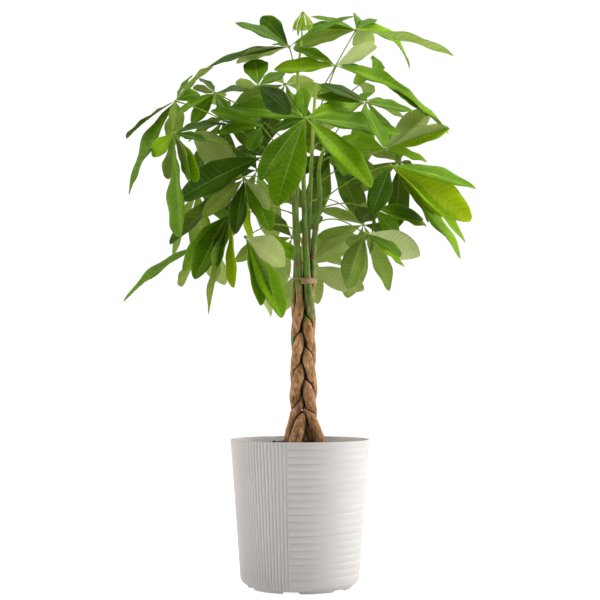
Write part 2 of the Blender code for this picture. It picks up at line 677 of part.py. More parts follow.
def tube_probe(points, reach):
    verts = []
    faces = []
    for k, place in enumerate(points):
        ahead = points[min(k + 1, len(points) - 1)] - points[max(k - 1, 0)]
        side = ahead.cross(Vector((0.3, 0.5, 0.8))).normalized()
        other = side.cross(ahead).normalized()
        verts += [place + side * reach, place + other * reach, place - side * reach, place - other * reach]
        if k:
            for q in range(4):
                a, b = 4 * k - 4 + q, 4 * k - 4 + (q + 1) % 4
                faces += [(a, b, b + 4), (a, b + 4, a + 4)]
    return BVHTree.FromPolygons(verts, faces)


def mesh_probe(obj):
    return BVHTree.FromPolygons([v.co.copy() for v in obj.data.vertices], [tuple(p.vertices) for p in obj.data.polygons])


def is_clear(probe, taken, own):
    return not any(owner != own and probe.overlap(other) for owner, other in taken)


def petiole_path(path, skin, height, hub, normal, shift, swing, arch):
    """A leaf stalk from just off its stem's skin, up and outwards, to the back of its hub."""
    height = min(height + shift, path[-1].z - 0.004)
    centre = stem_at(path, height)
    seat = hub - normal * HUB_DEPTH * 0.3
    level = Vector((seat.x - centre.x, seat.y - centre.y, 0)).normalized()
    out = Matrix.Rotation(math.radians(swing), 3, "Z") @ level
    reach = (seat - centre).xy.length
    lift = UP * reach * arch
    root = centre + out * (stem_radius(height, path[-1].z) + GAP + PETIOLE)
    chord = seat - root
    handle = chord * 0.33 + lift + out * 0.012
    way = handle.normalized()
    inset = PETIOLE * math.sqrt(max(0.0, 1 - way.dot(out) ** 2))
    root = centre + out * (stem_radius(height, path[-1].z) + GAP + 0.0002 + inset)
    side = way.cross(UP).normalized()
    other = side.cross(way)
    turns = [math.tau * k / 12 for k in range(12)]
    rim = [root + PETIOLE * (side * math.cos(turn) + other * math.sin(turn)) for turn in turns]
    gap = min(skin.find_nearest(point)[3] for point in rim)
    root -= out * max(0.0, gap - PETIOLE_SEAT)
    return interpolate_bezier(root, root + handle, root + chord * 0.7 + lift * 0.8 - normal * 0.01, seat, 5)


def route_petiole(name, path, skin, height, hub, normal, taken):
    trials = [(shift, swing, arch) for arch in (0.16, 0.05, 0.28) for swing in (0, 25, -25, 50, -50, 75, -75)
              for shift in (0, 0.008, -0.008, 0.016, -0.016, 0.026, -0.026)]
    for trial in trials:
        points = petiole_path(path, skin, height, hub, normal, *trial)
        if not is_clear(tube_probe(points[1:], PETIOLE + 0.0009), taken, name):
            continue
        if is_clear(tube_probe(points[:2], PETIOLE), taken, name):
            return points
    return petiole_path(path, skin, height, hub, normal, *trials[0])


def fit_blade(name, hub, blade, droop, normal, taken):
    """The blade as wanted, or with the first small turn or trim that lets it pass its neighbours."""
    azimuth, rise, length, roll, own_droop = (*blade, *(0, droop)[len(blade) - 3:])
    stations = LONG_STATIONS if length >= LONG_BLADE else BLADE_STATIONS
    for trim in TRIMS:
        for swing, lift, twist in TURNS:
            way = heading(azimuth + swing, rise + lift)
            rows = blade_outline(hub + way * 0.0012, azimuth + swing, rise + lift, length * trim / 1000,
                                 roll + twist, own_droop, normal, stations)
            probe = blade_probe(rows)
            if is_clear(probe, taken, name):
                return rows, probe
    return None, None


def make_blade(name, rows, collection):
    points, faces = blade_triangles(rows)
    bm = bmesh.new()
    verts = [bm.verts.new(point) for point in points]
    for face in faces:
        bm.faces.new([verts[q] for q in face])
    blade = from_bmesh(name, bm, collection)
    solidify = blade.modifiers.new("Thickness", "SOLIDIFY")
    solidify.thickness = BLADE_THICKNESS
    solidify.offset = 0
    solidify.use_even_offset = False
    return bake(blade)


def make_hub(name, hub, normal, parts, material):
    bm = bmesh.new()
    bmesh.ops.create_cone(bm, cap_ends=True, segments=6, radius1=HUB_RADIUS * 0.8, radius2=HUB_RADIUS,
                          depth=HUB_DEPTH)
    bmesh.ops.transform(bm, matrix=Matrix.Translation(hub) @ normal.to_track_quat("Z", "Y").to_matrix().to_4x4(),
                        verts=bm.verts[:])
    return from_bmesh(name, bm, parts, material)


def make_fronds(parts, paths, taken, material):
    petioles = {}
    skins = dict(taken)
    for name, (stem, height, hub, lean, facing, _, _) in FRONDS.items():
        normal = frond_frame(lean, facing)[0]
        skin = skins[f"stem_{stem + 1}"]
        points = route_petiole(name, paths[stem], skin, height, Vector(hub), normal, taken)
        petioles[name] = points
        taken.append((name, tube_probe(points, PETIOLE + 0.0009)))
    for name, (stem, height, hub, lean, facing, droop, blades) in FRONDS.items():
        normal = frond_frame(lean, facing)[0]
        hub = Vector(hub)
        pieces = make_collection(f"{name}_pieces")
        points = petioles[name]
        tube(f"{name}_petiole", points, [PETIOLE] * len(points), pieces, resolution=0)
        for k, blade in enumerate(blades or wheel(name, lean, facing)):
            rows, probe = fit_blade(name, hub, blade, droop, normal, taken)
            if rows:
                make_blade(f"{name}_blade_{k + 1}", rows, pieces)
                taken.append((name, probe))
        frond = make_hub(name, hub, normal, parts, material)
        boolean(frond, "UNION", pieces, "Petiole and blades")
        frond = bake(frond)
        drop_collection(pieces)
        shade(frond, 40)


def make_young_leaf(parts, path, material):
    """The youngest leaf at the leader's tip: a short stalk and narrow blades that still hang like a closed umbrella."""
    name = "young_leaf"
    tip = path[-1]
    hub = Vector((0.0055, 0.0, 1.0555))
    pieces = make_collection("young_pieces")
    stalk = catmull([tip + Vector((0, 0, 0.0005)), tip + Vector((-0.001, 0, 0.018)), hub], 0.012)
    tube("young_stalk", stalk, [0.0014] * len(stalk), pieces, resolution=0)
    for k in range(8):
        azimuth = 45 * k + 12
        way = heading(azimuth, -20)
        rows = blade_outline(hub + way * 0.001, azimuth, -28 - 6 * (k % 2), 0.043 - 0.006 * (k % 3), 0, 62, UP,
                             (0, 9, 18, 24), fold=30)
        rows = [(middle + (left - middle) * 0.42, middle, middle + (right - middle) * 0.42, upper)
                for left, middle, right, upper in rows]
        make_blade(f"young_blade_{k + 1}", rows, pieces)
    frond = make_hub(name, hub, UP, parts, material)
    boolean(frond, "UNION", pieces, "Stalk and blades")
    frond = bake(frond)
    drop_collection(pieces)
    shade(frond, 40)


def main():
    clear_scene()
    parts = make_collection("money_tree")
    guides = make_collection("cutters")
    make_pot(parts, guides, make_material("pot_plastic", (0.80, 0.80, 0.79), 0.5))
    stems, paths = make_stems(parts, guides, make_material("bark", (0.30, 0.19, 0.11), 0.8))
    soil = make_soil(parts, guides, make_material("soil", (0.03, 0.022, 0.016), 0.95))
    tie = make_tie(parts, paths, make_material("raffia", (0.45, 0.30, 0.17), 0.8))
    taken = [(obj.name, mesh_probe(obj)) for obj in [*stems, soil, tie]]
    leaf = make_material("leaf", (0.09, 0.22, 0.03), 0.4)
    make_fronds(parts, paths, taken, leaf)
    make_young_leaf(parts, paths[3], leaf)


main()
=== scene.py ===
# %% [markdown]
# # A potted money tree
# A money tree is five young trunks plaited together in one pot. Each trunk carries long leaf stalks, and
# each stalk ends in a fan of five to seven leaflets. The solid model underneath is plain: round rods, flat
# folded blades and a faceted pot. This lesson lays a finished surface over each of its pieces, from the
# pot upwards.
#
# The first cell loads that solid model. Its box is kept, so that the last cell can set it beside the
# finished one's.

# %% Load the solid model
import random
from bisect import bisect_left
from math import asin, atan2, cos, degrees, exp, hypot, pi, radians, sin, sqrt, tau

import bpy
import bmesh
from mathutils import Matrix, Vector, noise
from mathutils.bvhtree import BVHTree
from mathutils.geometry import convex_hull_2d, interpolate_bezier
from mathutils.kdtree import KDTree


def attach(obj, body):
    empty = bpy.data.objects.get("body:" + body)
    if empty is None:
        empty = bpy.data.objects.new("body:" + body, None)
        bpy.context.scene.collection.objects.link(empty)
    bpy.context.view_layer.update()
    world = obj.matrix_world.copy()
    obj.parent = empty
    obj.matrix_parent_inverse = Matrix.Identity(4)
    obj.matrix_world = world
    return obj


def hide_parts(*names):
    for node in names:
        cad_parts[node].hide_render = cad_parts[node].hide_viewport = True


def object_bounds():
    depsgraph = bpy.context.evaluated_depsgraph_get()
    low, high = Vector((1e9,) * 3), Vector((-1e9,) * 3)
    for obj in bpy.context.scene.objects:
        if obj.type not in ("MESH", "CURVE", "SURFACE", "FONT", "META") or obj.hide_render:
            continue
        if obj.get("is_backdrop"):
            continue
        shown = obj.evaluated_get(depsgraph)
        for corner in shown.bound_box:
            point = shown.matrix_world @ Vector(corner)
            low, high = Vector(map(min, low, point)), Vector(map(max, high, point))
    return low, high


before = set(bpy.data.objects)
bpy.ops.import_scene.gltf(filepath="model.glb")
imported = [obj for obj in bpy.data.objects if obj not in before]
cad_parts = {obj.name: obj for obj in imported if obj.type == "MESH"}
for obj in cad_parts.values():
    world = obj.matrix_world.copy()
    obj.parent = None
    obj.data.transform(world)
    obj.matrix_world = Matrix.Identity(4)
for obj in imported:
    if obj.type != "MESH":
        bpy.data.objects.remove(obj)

solid_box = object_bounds()
UP = Vector((0, 0, 1))
print("solid model:", [round(b - a, 3) for a, b in zip(*solid_box)], "m")

# %% [markdown]
# ## Camera
# A long lens a few metres away keeps upright things upright. The camera stands a little above the pot's
# rim and looks slightly up, so the rim shows as a thin ellipse and the crown is seen from just below.

# %% Camera
CAMERA_PLACE = (0, -2.6, 0.392)
CAMERA_TARGET = (0, 0, 0.5215)
LENS = 85
SENSOR = 36


def aimed(name, data, place, target):
    """Put a camera or a lamp at a place, looking at a target."""
    made = bpy.data.objects.new(name, data)
    made.location = place
    made.rotation_euler = (Vector(target) - Vector(place)).to_track_quat("-Z", "Y").to_euler()
    bpy.context.scene.collection.objects.link(made)
    return made


camera = aimed("camera", bpy.data.cameras.new("camera"), CAMERA_PLACE, CAMERA_TARGET)
camera.data.lens = LENS
camera.data.sensor_width = SENSOR
bpy.context.scene.camera = camera
print("camera:", LENS, "mm lens,", round(camera.location.length, 2), "m from the middle of the pot's foot")

# %% [markdown]
# ## Helpers for materials
# A material is a small network of nodes. These helpers add a node, wire it and return its output, so that
# each material below reads as a short recipe from the pattern to the shader.


# %% Helpers for nodes
def feed(node, socket, value):
    """Give a node's socket another node's output, a number or a colour."""
    into = node.inputs[socket]
    if isinstance(value, bpy.types.NodeSocket):
        node.id_data.links.new(value, into)
    else:
        into.default_value = (*value, 1) if isinstance(value, tuple) else value


def add(tree, kind, sockets=None, **settings):
    """Add a node, give it its settings and feed its sockets."""
    made = tree.nodes.new(kind)
    for name, value in settings.items():
        setattr(made, name, value)
    for name, value in (sockets or {}).items():
        feed(made, name, value)
    return made


def maths(tree, operation, *values):
    return add(tree, "ShaderNodeMath", dict(enumerate(values)), operation=operation).outputs[0]


def times(tree, a, b):
    return maths(tree, "MULTIPLY", a, b)


def blend(tree, share, a, b, mode="MIX"):
    """Mix two colours by a share."""
    return add(tree, "ShaderNodeMix", {0: share, 6: a, 7: b}, data_type="RGBA", blend_type=mode).outputs[2]


def ramp(tree, value, stops):
    """Turn a value into a colour by a list of (position, colour) stops."""
    made = add(tree, "ShaderNodeValToRGB", {0: value})
    band = made.color_ramp
    while len(band.elements) < len(stops):
        band.elements.new(1.0)
    for element, (position, colour) in zip(band.elements, stops):
        element.position = position
        element.color = (*colour, 1)
    return made.outputs[0]


def step(tree, value, low, high, start=0.0, end=1.0):
    """Move a value smoothly from start to end while it passes from low to high."""
    sockets = {"Value": value, "From Min": low, "From Max": high, "To Min": start, "To Max": end}
    return add(tree, "ShaderNodeMapRange", sockets, interpolation_type="SMOOTHSTEP").outputs[0]


def bump(tree, height, strength, distance):
    sockets = {"Height": height, "Strength": strength, "Distance": distance}
    return add(tree, "ShaderNodeBump", sockets).outputs[0]


def own_place(tree):
    """Where the point being shaded lies, in the object's own metres."""
    return add(tree, "ShaderNodeTexCoord").outputs["Object"]


# %% Helpers for materials and groups
def new_material(name, roughness):
    """An empty material: itself, its tree and its Principled shader."""
    material = bpy.data.materials.new(name)
    material.use_nodes = True
    tree = material.node_tree
    shader = tree.nodes["Principled BSDF"]
    feed(shader, "Roughness", roughness)
    return material, tree, shader


def new_group(name, inputs, outputs):
    """A node group that works out values: itself, its inputs with their usual values, its last node."""
    group = bpy.data.node_groups.new(name, "ShaderNodeTree")
    for label, value in inputs.items():
        socket = group.interface.new_socket(label, in_out="INPUT", socket_type="NodeSocketFloat")
        socket.default_value = value
    for label in outputs:
        group.interface.new_socket(label, in_out="OUTPUT", socket_type="NodeSocketFloat")
    return group, group.nodes.new("NodeGroupInput").outputs, group.nodes.new("NodeGroupOutput")


def place_group(tree, group, *values):
    """Place a group with its inputs given in order. Returns its outputs."""
    return add(tree, "ShaderNodeGroup", dict(enumerate(values)), node_tree=group).outputs


# %% [markdown]
# ## Helpers for pieces
# A finished piece is one object at the origin with its shape in its mesh. `dress` hangs the piece on the
# body it rides on and hides the plain solids it stands for.


# %% Helpers for pieces
def finished(bm, name, *materials):
    """Turn a bmesh into an object with smooth shading."""
    made = bpy.data.meshes.new(name)
    bm.to_mesh(made)
    bm.free()
    for material in materials:
        made.materials.append(material)
    made.shade_smooth()
    piece = bpy.data.objects.new(name, made)
    bpy.context.scene.collection.objects.link(piece)
    return piece


def dress(piece, slot, *nodes):
    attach(piece, "root")
    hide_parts(*nodes)
    print(piece.name, len(piece.data.polygons), "faces")


# %% Helpers for shapes
def mix(a, b, t):
    return a + (b - a) * t


def smooth(x, low, high):
    t = min(max((x - low) / (high - low), 0.0), 1.0)
    return t * t * (3 - 2 * t)


def lookup(table, x):
    """Straight-line reading of a table of (x, value) pairs."""
    if x <= table[0][0]:
        return table[0][1]
    for (x0, y0), (x1, y1) in zip(table, table[1:]):
        if x <= x1:
            return mix(y0, y1, (x - x0) / (x1 - x0))
    return table[-1][1]


def rod(bm, points, radii, sides):
    """A round rod along points, added to a bmesh with closed ends. Returns its vertices."""
    curve = bpy.data.curves.new("rod", "CURVE")
    curve.dimensions = "3D"
    curve.bevel_depth = 1.0
    curve.bevel_resolution = (sides - 4) // 2
    curve.use_fill_caps = True
    spline = curve.splines.new("POLY")
    spline.points.add(len(points) - 1)
    for knot, place, radius in zip(spline.points, points, radii):
        knot.co = (*place, 1)
        knot.radius = radius
    holder = bpy.data.objects.new("rod", curve)
    shape = bpy.data.meshes.new_from_object(holder)
    known = set(bm.verts)
    bm.from_mesh(shape)
    fresh = [vertex for vertex in bm.verts if vertex not in known]
    bmesh.ops.remove_doubles(bm, verts=fresh, dist=1e-6)
    bpy.data.objects.remove(holder)
    bpy.data.curves.remove(curve)
    bpy.data.meshes.remove(shape)
    return [vertex for vertex in bm.verts if vertex not in known]


# %% [markdown]
# ## Floor and light
# The plant stands in a white studio. Most light falls from above and behind, so thin leaves glow and the
# front of the pot is its darkest part. The sky is brighter behind the plant than in front of it, and large
# soft lamps stand at the sides.

# %% Sky
FRONT_SKY = 0.07
BACK_SKY = 0.90
SKY_LOOK = 1.05
bpy.context.scene.view_settings.view_transform = "Standard"
world = bpy.data.worlds.new("studio")
bpy.context.scene.world = world
world.use_nodes = True
sky = world.node_tree
sky.nodes.clear()
direction = add(sky, "ShaderNodeTexCoord").outputs["Generated"]
depth = add(sky, "ShaderNodeSeparateXYZ", {0: direction}).outputs["Y"]
strength = step(sky, depth, -0.7, 0.8, FRONT_SKY, BACK_SKY)
soft = add(sky, "ShaderNodeBackground", {"Color": (1.0, 0.99, 0.98), "Strength": strength}).outputs[0]
plain = add(sky, "ShaderNodeBackground", {"Color": (1, 1, 1), "Strength": SKY_LOOK}).outputs[0]
seen = add(sky, "ShaderNodeLightPath").outputs["Is Camera Ray"]
both = add(sky, "ShaderNodeMixShader", {0: seen, 1: soft, 2: plain}).outputs[0]
add(sky, "ShaderNodeOutputWorld", {"Surface": both})
print("sky:", FRONT_SKY, "in front,", BACK_SKY, "behind")

# %% Lamps
LAMPS = [("right_lamp", (2.4, 0.25, 0.8), (0, 0, 0.45), (1.0, 2.2), 38, (1.0, 0.99, 0.98)),
         ("left_lamp", (-2.4, 0.0, 1.1), (0, 0, 0.4), (1.0, 1.8), 26, (1.0, 0.93, 0.90)),
         ("top_lamp", (0.5, 0.15, 3.0), (0, 0, 0.8), (1.4, 1.4), 58, (1.0, 1.0, 0.98)),
         ("front_lamp", (2.0, -1.9, 1.9), (0, 0, 0.8), (1.0, 1.0), 20, (1.0, 1.0, 0.98))]
for name, place, target, size, power, colour in LAMPS:
    lamp = aimed(name, bpy.data.lights.new(name, "AREA"), place, target).data
    lamp.shape = "RECTANGLE"
    lamp.size, lamp.size_y = size
    lamp.energy = power
    lamp.color = colour
    print(name, power, "W")

# %% [markdown]
# The floor looks as white as the air above it, but only the camera sees all of that glow: otherwise it
# would light the pot from below and wash out its ribs.

# %% Floor
FLOOR_GLOW = 0.31
FLOOR_LOOK = 0.78
FLOOR_RADIUS = 14
white, tree, shader = new_material("white_floor", 0.9)
seen = add(tree, "ShaderNodeLightPath").outputs["Is Camera Ray"]
feed(shader, "Base Color", (0.5, 0.5, 0.5))
feed(shader, "Emission Color", blend(tree, seen, (FLOOR_GLOW,) * 3, (FLOOR_LOOK,) * 3))
feed(shader, "Emission Strength", 1.0)
bm = bmesh.new()
bmesh.ops.create_circle(bm, cap_ends=True, segments=96, radius=FLOOR_RADIUS)
floor = finished(bm, "floor", white)
floor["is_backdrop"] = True
print("floor:", 2 * FLOOR_RADIUS, "m across")

# %% [markdown]
# ## Shared patterns
# Real surfaces are never one flat colour. Three effects come back in several finishes, so each is a node
# group: broad mottling, long fibres, and the veins of a leaf. A group only works out values. The shader
# stays in each material.

# %% Mottling and fibres
mottle, given, out = new_group("mottle", {"Size": 0.03, "Contrast": 1.0}, ["Value"])
scale = maths(mottle, "DIVIDE", 1.0, given["Size"])
cloud = add(mottle, "ShaderNodeTexNoise", {"Vector": own_place(mottle), "Scale": scale, "Detail": 5.0})
centred = maths(mottle, "SUBTRACT", cloud.outputs[0], 0.5)
feed(out, "Value", maths(mottle, "ADD", times(mottle, centred, given["Contrast"]), 0.5))

fibres, given, out = new_group("fibres", {"Spacing": 0.002, "Stretch": 12.0}, ["Value"])
spread = maths(fibres, "DIVIDE", 1.0, given["Spacing"])
squeezed = maths(fibres, "DIVIDE", spread, given["Stretch"])
sizes = add(fibres, "ShaderNodeCombineXYZ", {0: spread, 1: spread, 2: squeezed}).outputs[0]
drawn = add(fibres, "ShaderNodeVectorMath", {0: own_place(fibres), 1: sizes}, operation="MULTIPLY")
threads = add(fibres, "ShaderNodeTexNoise", {"Vector": drawn.outputs[0], "Scale": 1.0, "Detail": 3.0})
feed(out, "Value", threads.outputs[0])


def mottled(tree, size, contrast):
    """Soft blotches of about this size in metres."""
    return place_group(tree, mottle, size, contrast)[0]


def fibrous(tree, spacing, stretch):
    """Upright threads this far apart, drawn out this many times."""
    return place_group(tree, fibres, spacing, stretch)[0]


print("patterns:", mottle.name, fibres.name)

# %% [markdown]
# The veins are drawn on a leaflet's own flat map, which runs across from edge to edge and along from root
# to tip. Side veins leave the midrib in pairs and lag behind towards the edge, so the beat that makes them
# is slanted.

# %% Veins of a leaflet
VEIN_PAIRS = 15.0
VEIN_SLANT = 0.10
VEIN_BEND = 1.2
VEIN_WIDTH = 0.13
MIDRIB_WIDTH = 0.024
veins, _, out = new_group("leaf_veins", {}, ["Midrib", "Veins", "Between", "Edge"])
flat_map = add(veins, "ShaderNodeTexCoord").outputs["UV"]
across, along, _ = add(veins, "ShaderNodeSeparateXYZ", {0: flat_map}).outputs
aside = times(veins, maths(veins, "ABSOLUTE", maths(veins, "SUBTRACT", across, 0.5)), 2.0)
lag = times(veins, maths(veins, "POWER", aside, VEIN_BEND), VEIN_SLANT)
beat = times(veins, maths(veins, "SUBTRACT", along, lag), VEIN_PAIRS)
near = maths(veins, "ABSOLUTE", maths(veins, "SUBTRACT", maths(veins, "FRACT", beat), 0.5))
edge = maths(veins, "SUBTRACT", 0.5, near)
wide = times(veins, VEIN_WIDTH, maths(veins, "SUBTRACT", 1.15, aside))
feed(out, "Veins", step(veins, edge, 0.0, wide, 1.0, 0.0))
narrowing = times(veins, MIDRIB_WIDTH, maths(veins, "SUBTRACT", 1.5, along))
rib = step(veins, aside, narrowing, times(veins, narrowing, 2.0), 1.0, 0.0)
stub = step(veins, along, 0.02, 0.10, 1.0, 0.0)
feed(out, "Midrib", maths(veins, "MAXIMUM", rib, stub))
feed(out, "Between", times(veins, edge, 2.0))
feed(out, "Edge", step(veins, aside, 0.955, 0.985))
print("pattern:", veins.name, len(veins.nodes), "nodes")

# %% [markdown]
# ## The pot
# The pot is moulded in off-white plastic. One half of its outside is fluted from top to bottom, the other
# half has level ribs, and the two meet at a seam just left of the front. Each half starts as an outline in
# one plane, which is spun through half a turn.

# %% Pot sizes
POT_HEIGHT = 0.267
POT_RADIUS = 0.127
POT_TAPER = 0.073
POT_WALL = 0.0034
POT_CORNER = 0.018
POT_FLOOR = 0.009
FOOT_HEIGHT = 0.004
FOOT_INNER = 0.087
FOOT_OUTER = 0.095
NOTCH_WIDTH = 0.031
NOTCH_HALF = degrees(NOTCH_WIDTH / (FOOT_INNER + FOOT_OUTER))
SEAM_ANGLE = -99.5
FLUTES = 56
FLUTE_DEPTH = 0.0024
RINGS = 20
RING_PITCH = 0.0126
RING_TOP = 0.2545
RING_DEPTH = 0.0017


def wall_radius(height):
    return POT_RADIUS - POT_TAPER * (POT_HEIGHT - height)


def corner_arc(steps):
    """The rounded lower corner, from where the foot meets it up to the wall."""
    top = FOOT_HEIGHT + POT_CORNER
    centre = wall_radius(top) - POT_CORNER
    first = asin((FOOT_OUTER - centre) / POT_CORNER)
    turns = [mix(first, pi / 2, k / steps) for k in range(steps + 1)]
    return [(centre + POT_CORNER * sin(turn), top - POT_CORNER * cos(turn)) for turn in turns]


print("pot:", POT_HEIGHT, "m tall,", round(2 * wall_radius(POT_HEIGHT), 3), "m across the rim")


# %% [markdown]
# The level ribs are part of the outline itself: each rib bulges like a stretched bead and meets the next
# in a narrow groove. The ribs stop below a plain band at the rim, and fade out above the rounded lower
# corner.


# %% Pot outlines
RIB_SAMPLES = 9
CORNER_STEPS = 9
LIP_DROP = 0.0013


def rib(height):
    """How far the outside stands back from the wall's line at a height on the ribbed half."""
    below = (RING_TOP - height) / RING_PITCH
    if below < 0:
        return -RING_DEPTH * (1 - smooth(-below, 0.0, 0.16))
    bead = sin(pi * (below % 1.0) ** 0.8) ** 0.6
    return -RING_DEPTH * (1 - bead) * (1 - smooth(below, RINGS - 1.2, RINGS - 0.4))


def pot_outline(ribbed):
    """The closed outline of the pot's wall, floor and foot as (radius, height) pairs."""
    start = FOOT_HEIGHT + POT_CORNER
    samples = RIB_SAMPLES * RINGS if ribbed else 16
    heights = [mix(start, POT_HEIGHT - 0.0012, k / samples) for k in range(1, samples + 1)]
    outside = corner_arc(CORNER_STEPS) + [(wall_radius(height), height) for height in heights]
    if ribbed:
        outside = [(radius + rib(height), height) for radius, height in outside]
    edge = wall_radius(POT_HEIGHT)
    lip = [(0.0003, 0.0004), (0.0009, 0), (0.0024, 0), (0.0031, 0.0004), (POT_WALL, LIP_DROP)]
    rim = [(edge - back, POT_HEIGHT - down) for back, down in lip]
    hollow = [(0, 0.255), (0, 0.240), (0, 0.150), (0, 0.030), (0.004, 0.015), (0.012, POT_FLOOR)]
    inside = [(wall_radius(height) - POT_WALL - back, height) for back, height in hollow]
    under = [(0, POT_FLOOR), (0, FOOT_HEIGHT), (FOOT_INNER, FOOT_HEIGHT), (FOOT_INNER, 0.001),
             (FOOT_INNER + 0.001, 0), (FOOT_OUTER - 0.001, 0), (FOOT_OUTER, 0.001)]
    return outside + rim + inside + under


print("outline corners:", len(pot_outline(False)), "fluted half,", len(pot_outline(True)), "ribbed half")

# %% [markdown]
# The flutes are pressed in by moving vertices towards the axis, which is far lighter than carving them.
# Four steps of the spin fall on each half flute. Six notches in the foot ring let water out.


# %% Spin the two halves
FLUTED_STEPS = 8 * FLUTES
RIBBED_STEPS = 72


def spin_half(bm, outline, start, steps):
    """Half of the pot: an outline stood at an angle and spun clockwise through half a turn."""
    known = set(bm.verts)
    ring = [bm.verts.new((radius, 0, height)) for radius, height in outline]
    edges = [bm.edges.new(pair) for pair in zip(ring, ring[1:] + ring[:1])]
    bmesh.ops.rotate(bm, verts=ring, matrix=Matrix.Rotation(radians(start), 3, "Z"))
    bmesh.ops.spin(bm, geom=ring + edges, axis=UP, angle=-pi, steps=steps)
    fresh = [vertex for vertex in bm.verts if vertex not in known]
    bmesh.ops.remove_doubles(bm, verts=fresh, dist=1e-6)
    fresh = [vertex for vertex in bm.verts if vertex not in known]
    edges = {edge for vertex in fresh for edge in vertex.link_edges}
    bmesh.ops.holes_fill(bm, edges=[edge for edge in edges if edge.is_boundary])
    return fresh


bm = bmesh.new()
fluted = spin_half(bm, pot_outline(False), SEAM_ANGLE, FLUTED_STEPS)
ribbed = spin_half(bm, pot_outline(True), SEAM_ANGLE - 180, RIBBED_STEPS)
print("spun:", len(fluted), "fluted and", len(ribbed), "ribbed vertices")

# %% Press the flutes and cut the notches
NOTCH_GAP = 0.0004


def bearing(place):
    return degrees(atan2(place.y, place.x))


for vertex in fluted:
    reach, height = hypot(vertex.co.x, vertex.co.y), vertex.co.z
    outer = 0
    if height > FOOT_HEIGHT + POT_CORNER:
        outer = smooth(reach - wall_radius(height), -0.0022, -0.0008)
    elif height > 0.003:
        outer = smooth(reach, 0.0955, 0.106)
    turn = (SEAM_ANGLE - bearing(vertex.co) + 1e-4) % 360 / 180 * FLUTES
    groove = 1 - abs(sin(pi * (turn + 0.5))) ** 0.7
    vertex.co.xy *= 1 - FLUTE_DEPTH * groove * outer / max(reach, 0.01)
for vertex in fluted + ribbed:
    in_foot = FOOT_INNER - 0.001 < hypot(vertex.co.x, vertex.co.y) < FOOT_OUTER + 0.0005
    turn = (bearing(vertex.co) - SEAM_ANGLE + 0.5 + 30) % 60 - 30
    if in_foot and vertex.co.z < FOOT_HEIGHT and abs(turn) < NOTCH_HALF:
        vertex.co.z = FOOT_HEIGHT - NOTCH_GAP
bmesh.ops.recalc_face_normals(bm, faces=bm.faces)
print("flutes:", FLUTES, "each", FLUTE_DEPTH * 1000, "mm deep")

# %% [markdown]
# The plastic is matte and slightly warm. It is a little greyer low down, where it was handled, and has the
# faint orange-peel of a moulded surface.

# %% Pot finish
pot_plastic, tree, shader = new_material("pot_plastic", 0.5)
tone = mottled(tree, 0.05, 0.5)
cast = ramp(tree, tone, [(0.3, (0.715, 0.682, 0.665)), (0.7, (0.765, 0.742, 0.728))])
height = add(tree, "ShaderNodeSeparateXYZ", {0: own_place(tree)}).outputs["Z"]
worn = times(tree, step(tree, height, 0.0, 0.16, 0.35, 0.0), mottled(tree, 0.0016, 1.6))
feed(shader, "Base Color", blend(tree, worn, cast, (0.56, 0.53, 0.50)))
feed(shader, "Roughness", step(tree, tone, 0.2, 0.8, 0.42, 0.58))
feed(shader, "Normal", bump(tree, mottled(tree, 0.0012, 1.0), 0.08, 0.0002))
pot = finished(bm, "planter", pot_plastic)
pot.data.set_sharp_from_angle(angle=radians(50))
dress(pot, "pot_plastic", "pot")

# %% [markdown]
# ## The potting mix
# Potting mix is crumbly: dark peat with bits of bark and a few pale grains. The bed is a disc, turned from
# a short line, roughened with noise and given a thickness. It is a little higher in the middle, where the
# trunks were planted.

# %% Bed of potting mix
SOIL_EDGE = 0.247
SOIL_MIDDLE = 0.2635
BED_RINGS = 44
BED_STEPS = 132
BED_THICKNESS = 0.004


def bed_height(share):
    return mix(SOIL_MIDDLE, SOIL_EDGE, share ** 1.7)


bed_radius = wall_radius(SOIL_EDGE) - POT_WALL - 0.0006
bm = bmesh.new()
shares = [k / BED_RINGS for k in range(BED_RINGS + 1)]
line = [bm.verts.new((bed_radius * share, 0, bed_height(share))) for share in shares]
edges = [bm.edges.new(pair) for pair in zip(line, line[1:])]
bmesh.ops.spin(bm, geom=line + edges, axis=UP, angle=tau, steps=BED_STEPS, use_merge=True)
bmesh.ops.remove_doubles(bm, verts=bm.verts, dist=1e-5)
bmesh.ops.recalc_face_normals(bm, faces=bm.faces)
for vertex in bm.verts:
    rough = noise.noise(vertex.co * 160) * 0.0016 + noise.noise(vertex.co * 420) * 0.0011
    vertex.co.z += rough * smooth(bed_radius - vertex.co.xy.length, 0.0, 0.004)
bmesh.ops.solidify(bm, geom=bm.faces[:], thickness=BED_THICKNESS)
print("bed:", round(2 * bed_radius, 3), "m across,", len(bm.faces), "faces")

# %% [markdown]
# Crumbs are strewn over the bed, small ones mostly and every ninth one larger. Each is a squashed ball of
# only twenty faces, because there are hundreds of them.

# %% Crumbs on the bed
CRUMBS = 900
CRUMB_REACH = 0.97
random.seed(11)
for k in range(CRUMBS):
    share = sqrt(random.random()) * CRUMB_REACH
    turn = random.uniform(0, tau)
    size = random.uniform(0.0007, 0.0019) if k % 9 else random.uniform(0.002, 0.0036)
    flat = random.uniform(0.5, 0.9)
    reach = share * bed_radius
    spot = Vector((reach * cos(turn), reach * sin(turn), bed_height(share) + size * flat * 0.45))
    squash = Matrix.Diagonal((1.35, 0.85, flat, 1))
    shape = Matrix.Translation(spot) @ Matrix.Rotation(turn * 7, 4, "Z") @ squash
    bmesh.ops.create_icosphere(bm, subdivisions=1, radius=size, matrix=shape)
print("bed and crumbs:", len(bm.faces), "faces")

# %% [markdown]
# The mix is nearly black where it is damp, brown where it has dried, and some crumbs are bark or perlite.
# The pattern is cut into cells, so that neighbouring crumbs differ.

